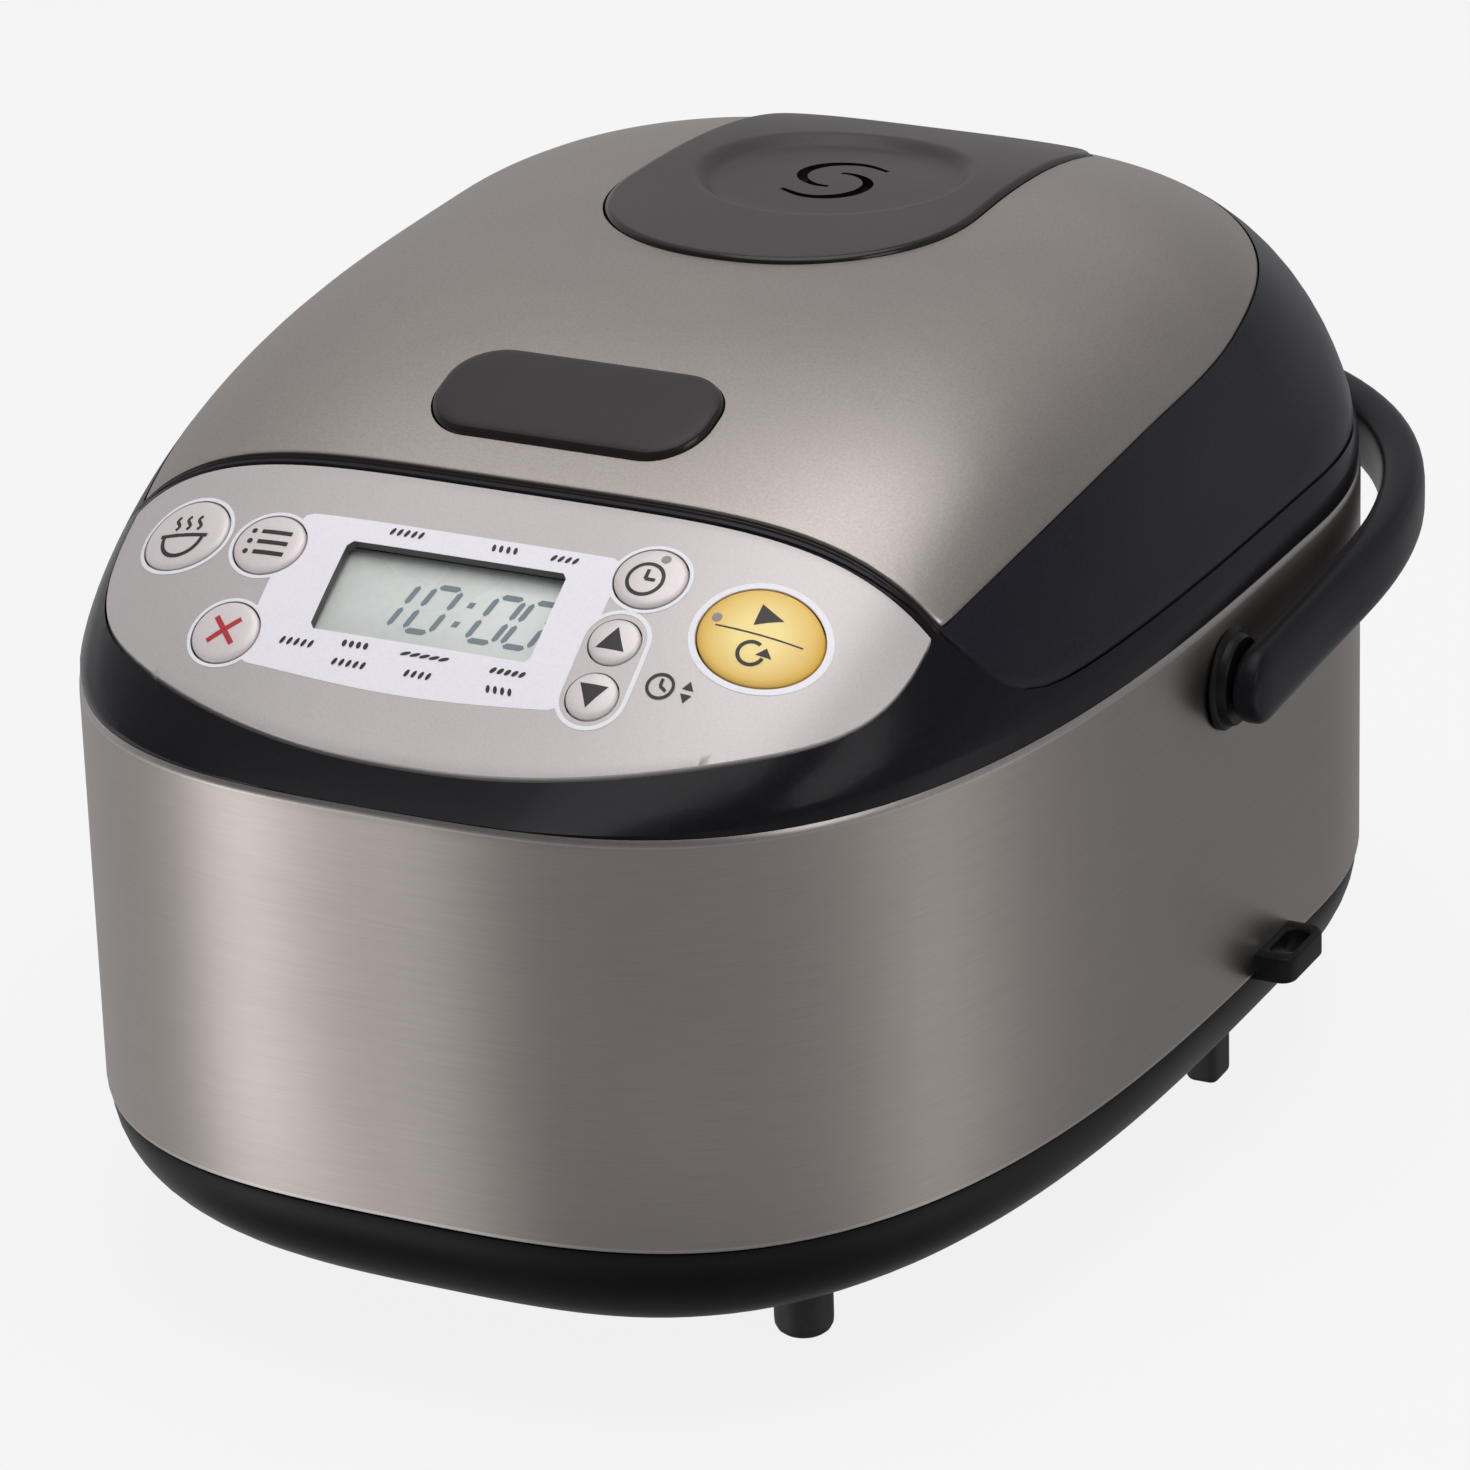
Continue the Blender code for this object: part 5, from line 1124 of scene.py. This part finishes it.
# %% Bosses and eye
BEARING = ((0, 101.5), (8.0, 101.5), (8.0, 105.9), (10.2, 105.9), (10.2, 106.3), (9.7, 106.8),
           (9.2, 107.0), (9.0, 108.2), (8.5, 108.7), (0, 108.7))
for side, letter in ((-1, "l"), (1, "r")):
    boss = lathe("bearing_" + letter, [(r, side * x) for r, x in BEARING], [M["base_black"]],
                 (PIVOT_Y, PIVOT_Z), 72, axis="X")
    done(boss, "body_base", "handle_boss_" + letter, slot="base_black")
eye = prism("hanging_eye", rounded(107.75, 19.5, 6.15, 9.3, 3.2), 38.8, 44.4)
eye.data.materials.append(M["base_black"])
cut(eye, prism("slot", rounded(109.7, 19.5, 2.4, 5.8, 1.6), 30, 50))
done(soften(eye, 0.8, 50, 4), "body_base", "spatula_loop", slot="base_black")

# %% [markdown]
# ## Inside the cooker
# These pieces show when the lid is open: the pot in its bright collar, and below the lid the liner,
# the inner lid and its gasket.

# %% Pot and collar
pot = [(0, 46), (52, 46), (60, 46.3), (68, 48.4), (74, 52.2), (78.2, 57.6), (80.1, 63), (80.5, 68),
       (80.5, 130.3), (81.2, 131.2), (82.4, 131.5), (89.2, 131.5), (89.9, 131.9), (89.8, 132.4),
       (89.2, 132.6), (80.6, 132.6), (79.5, 132.0), (79.1, 130.8), (79.1, 68.2), (78.6, 63.2),
       (76.8, 58.3), (73.0, 53.6), (67.5, 50.0), (59.8, 47.9), (52, 47.5), (0, 47.5)]
done(lathe("cooking_pot", pot, [M["nonstick_dark"]], (0, POT_Y), 160), "body_base", "inner_pot",
     slot="nonstick_dark")
collar = [(84.0, 120.0), (85.3, 120.0), (85.3, 129.8), (93.2, 129.8), (94.0, 130.2), (94.0, 130.7),
          (93.5, 131.0), (84.6, 131.0), (84.0, 130.5)]
done(lathe("pot_collar", collar, [M["steel_edge"]], (0, POT_Y), 160, closed=True), "body_base",
     "collar_ring", slot="satin_steel")

# %% Under the lid
def round_tool(x, radius, n):
    t = turns(n)
    return prism("hole", np.column_stack([x + radius * np.cos(t), DISH_Y + radius * np.sin(t)]), 130, 150)


edge = lid_line(-2.9)
rings = [at(circle(92.4), 142.6), at(circle(93.2), 133.2), at(edge, 133.2), at(edge, 131.7),
         at(circle(91.6), 131.7), at(circle(90.9), 141.0)]
liner = loft("lid_pan", rings, [M["grey_plastic"]], start=(0, POT_Y, 142.6), end=(0, POT_Y, 141.0))
cut(liner, round_tool(0, 7.4, 40), block("hinge", (-38, 38), (122.6, 140), (125, 145)),
    block("latch", (-14.6, 14.6), (-90, -78.6), (125, 140)))
done(liner, "lid", "lid_liner", slot="grey_plastic")
plate = [(0, 136.6), (28, 136.45), (52, 135.8), (68, 135.1), (72, 135.0), (76, 135.0), (78.5, 135.9),
         (80.0, 136.8), (80.0, 138.0), (77.5, 137.2), (75.4, 136.4), (70, 136.4), (52, 137.1),
         (28, 137.8), (0, 138.0)]
inner = lathe("lid_plate_inner", plate, [M["aluminium"]], (0, POT_Y), 160)
for x, r in ((0, 4.6), (-12, 2.2), (12, 2.2)):
    cut(inner, round_tool(x, r, 32))
done(inner, "lid", "inner_lid", slot="aluminium")
seal = [(81.1, 134.8), (82.4, 133.5), (84.2, 133.0), (86.4, 133.05), (87.6, 133.6), (87.7, 134.6),
        (87.0, 135.3), (84.9, 135.6), (84.4, 136.4), (84.2, 140.6), (81.1, 140.6)]
done(lathe("lid_seal", seal, [M["silicone_grey"]], (0, POT_Y), 160, closed=True), "lid", "inner_lid_gasket",
     slot="silicone_grey")

# %% [markdown]
# ## Carried-over nodes
# Every node that keeps its own mesh gets the procedural material of its slot.

# %% Materials of the carried-over nodes
slots = {part["node"]: part["material_slot"] for part in frame["record"]["subparts"]}
kept = 0
for name, obj in nodes.items():
    mat = M[slots[name]] if slots[name] in M else M["lcd_frame"]
    obj.data.materials.clear()
    obj.data.materials.append(mat)
    kept += not obj.hide_render
print("carried-over nodes:", kept)

# %% [markdown]
# ## Studio
# A pale floor, soft lights overhead and to the right, a grey sky with bands below its horizon for
# the long highlights on the shell, and a long-lens camera a little above and to the right.

# %% Floor and world
floor = make("floor", [(-9000, -9000, 0), (9000, -9000, 0), (9000, 9000, 0), (-9000, 9000, 0)],
             [(0, 1, 2, 3)])
ground = finish("ground", (0.06, 0.06, 0.06), 0.9, 0, 0.004, 30, bump=0.0, specular=0.0)
shader = ground.node_tree.nodes["Principled BSDF"]
shader.inputs["Emission Color"].default_value = (1, 1, 1, 1)
shader.inputs["Emission Strength"].default_value = 0.865
floor.data.materials.append(ground)
floor.visible_glossy = False
scene = bpy.context.scene


def grey_ramp(tree, source, stops, smooth=True):
    """A ramp of grey levels; the values may be above 1 because a factor follows it."""
    made = node(tree, "ShaderNodeValToRGB")
    made.color_ramp.interpolation = "B_SPLINE" if smooth else "LINEAR"
    peak = max(v for _, v in stops)
    for place, value in stops[2:]:
        made.color_ramp.elements.new(place)
    for element, (place, value) in zip(made.color_ramp.elements, sorted(stops)):
        element.position = place
    for element, (place, value) in zip(made.color_ramp.elements, sorted(stops)):
        element.color = (value / peak, value / peak, value / peak, 1)
    tree.links.new(source, made.inputs["Fac"])
    return maths(tree, "MULTIPLY", made.outputs["Color"], peak)


def choose(tree, share, a, b):
    """The value a where share is 0, and b where it is 1."""
    made = node(tree, "ShaderNodeMix", data_type="FLOAT")
    feed(tree, (made.inputs[0], made.inputs[2], made.inputs[3]), (share, a, b))
    return made.outputs[0]


world = bpy.data.worlds.new("studio")
scene.world = world
world.use_nodes = True
tree = world.node_tree
axes = node(tree, "ShaderNodeSeparateXYZ")
tree.links.new(node(tree, "ShaderNodeTexCoord").outputs["Generated"], axes.inputs[0])
height = maths(tree, "MULTIPLY_ADD", axes.outputs["Z"], 0.5, 0.5)
turn = maths(tree, "ARCTAN2", axes.outputs["Y"], axes.outputs["X"])
around = maths(tree, "MULTIPLY_ADD", turn, 1 / (2 * math.pi), 0.5)
high = grey_ramp(tree, height, ((0.0, 0.08), (0.44, 0.28), (0.50, 0.56), (0.57, 0.44), (0.70, 0.42),
                                           (0.80, 0.46), (0.87, 0.42), (0.96, 0.62), (1.0, 0.90)))
SIDES = ((-180, 0.50), (-165, 0.55), (-150, 0.75), (-138, 1.65), (-131, 2.0), (-125, 1.4), (-117, 0.36),
         (-100, 0.36), (-60, 0.37), (-25, 0.34), (0, 0.42), (14, 0.72), (22, 0.78), (30, 0.55),
         (42, 0.28), (60, 0.22), (90, 0.30), (125, 0.42), (150, 0.45), (180, 0.50))
low = grey_ramp(tree, around, [(a / 360 + 0.5, v) for a, v in SIDES])
below = grey_ramp(tree, height, ((0.0, 0.0), (0.10, 0.0), (0.20, 1.0), (0.40, 1.0), (0.48, 0.0),
                                 (1.0, 0.0)), False)
front = grey_ramp(tree, around, ((0.0, 0.9), (0.08, 0.45), (0.2, 0.3), (0.36, 0.3), (0.5, 0.6), (0.62, 0.6),
                                              (0.72, 0.75), (0.84, 1.1), (1.0, 1.1)))
zenith = grey_ramp(tree, height, ((0.0, 0.0), (0.90, 0.0), (0.97, 1.0), (1.0, 1.0)), False)
sky = maths(tree, "MULTIPLY", high, choose(tree, zenith, front, 1.0))
tree.nodes["Background"].inputs["Color"].default_value = (0.97, 0.97, 1.0, 1)
tree.links.new(choose(tree, below, sky, low), tree.nodes["Background"].inputs["Strength"])


def light(name, place, target, size, power):
    """A rectangular soft light that faces a target; lengths in metres."""
    lamp = bpy.data.lights.new(name, "AREA")
    lamp.shape, lamp.size, lamp.size_y = "RECTANGLE", size[0], size[1]
    lamp.energy = power
    obj = bpy.data.objects.new(name, lamp)
    scene.collection.objects.link(obj)
    obj.location = place
    obj.rotation_mode = "QUATERNION"
    obj.rotation_quaternion = (Vector(target) - Vector(place)).to_track_quat("-Z", "Y")
    return obj


light("overhead", (0.05, 0.0, 2.1), (0, 0, 0.1), (2.0, 1.8), 12)
fill = light("fill", (0.6, -0.5, 2.0), (0, 0, 0.1), (1.6, 1.6), 15)
fill.visible_glossy = False
light("right_soft", (2.4, -0.6, 1.5), (0, -0.05, 0.08), (1.2, 1.2), 6)

# %% Camera
azimuth, elevation, roll = math.radians(27.016), math.radians(23.019), math.radians(-1.870)
right = Vector((math.cos(azimuth), math.sin(azimuth), 0))
back = Vector((math.sin(azimuth) * math.cos(elevation), -math.cos(azimuth) * math.cos(elevation),
               math.sin(elevation)))
up = back.cross(right)
x_axis = right * math.cos(roll) + up * math.sin(roll)
y_axis = up * math.cos(roll) - right * math.sin(roll)
target = right * 1.137 * MM + Vector((0, -7.8, 81.777)) * MM
data = bpy.data.cameras.new("camera")
data.lens, data.sensor_width, data.clip_start, data.clip_end = 176.36, 36.0, 0.05, 60.0
camera = bpy.data.objects.new("camera", data)
scene.collection.objects.link(camera)
place = target + back * 1442.33 * MM
camera.matrix_world = Matrix(((x_axis.x, y_axis.x, back.x, place.x), (x_axis.y, y_axis.y, back.y, place.y),
                              (x_axis.z, y_axis.z, back.z, place.z), (0, 0, 0, 1)))
scene.camera = camera
scene.view_settings.view_transform = "Standard"
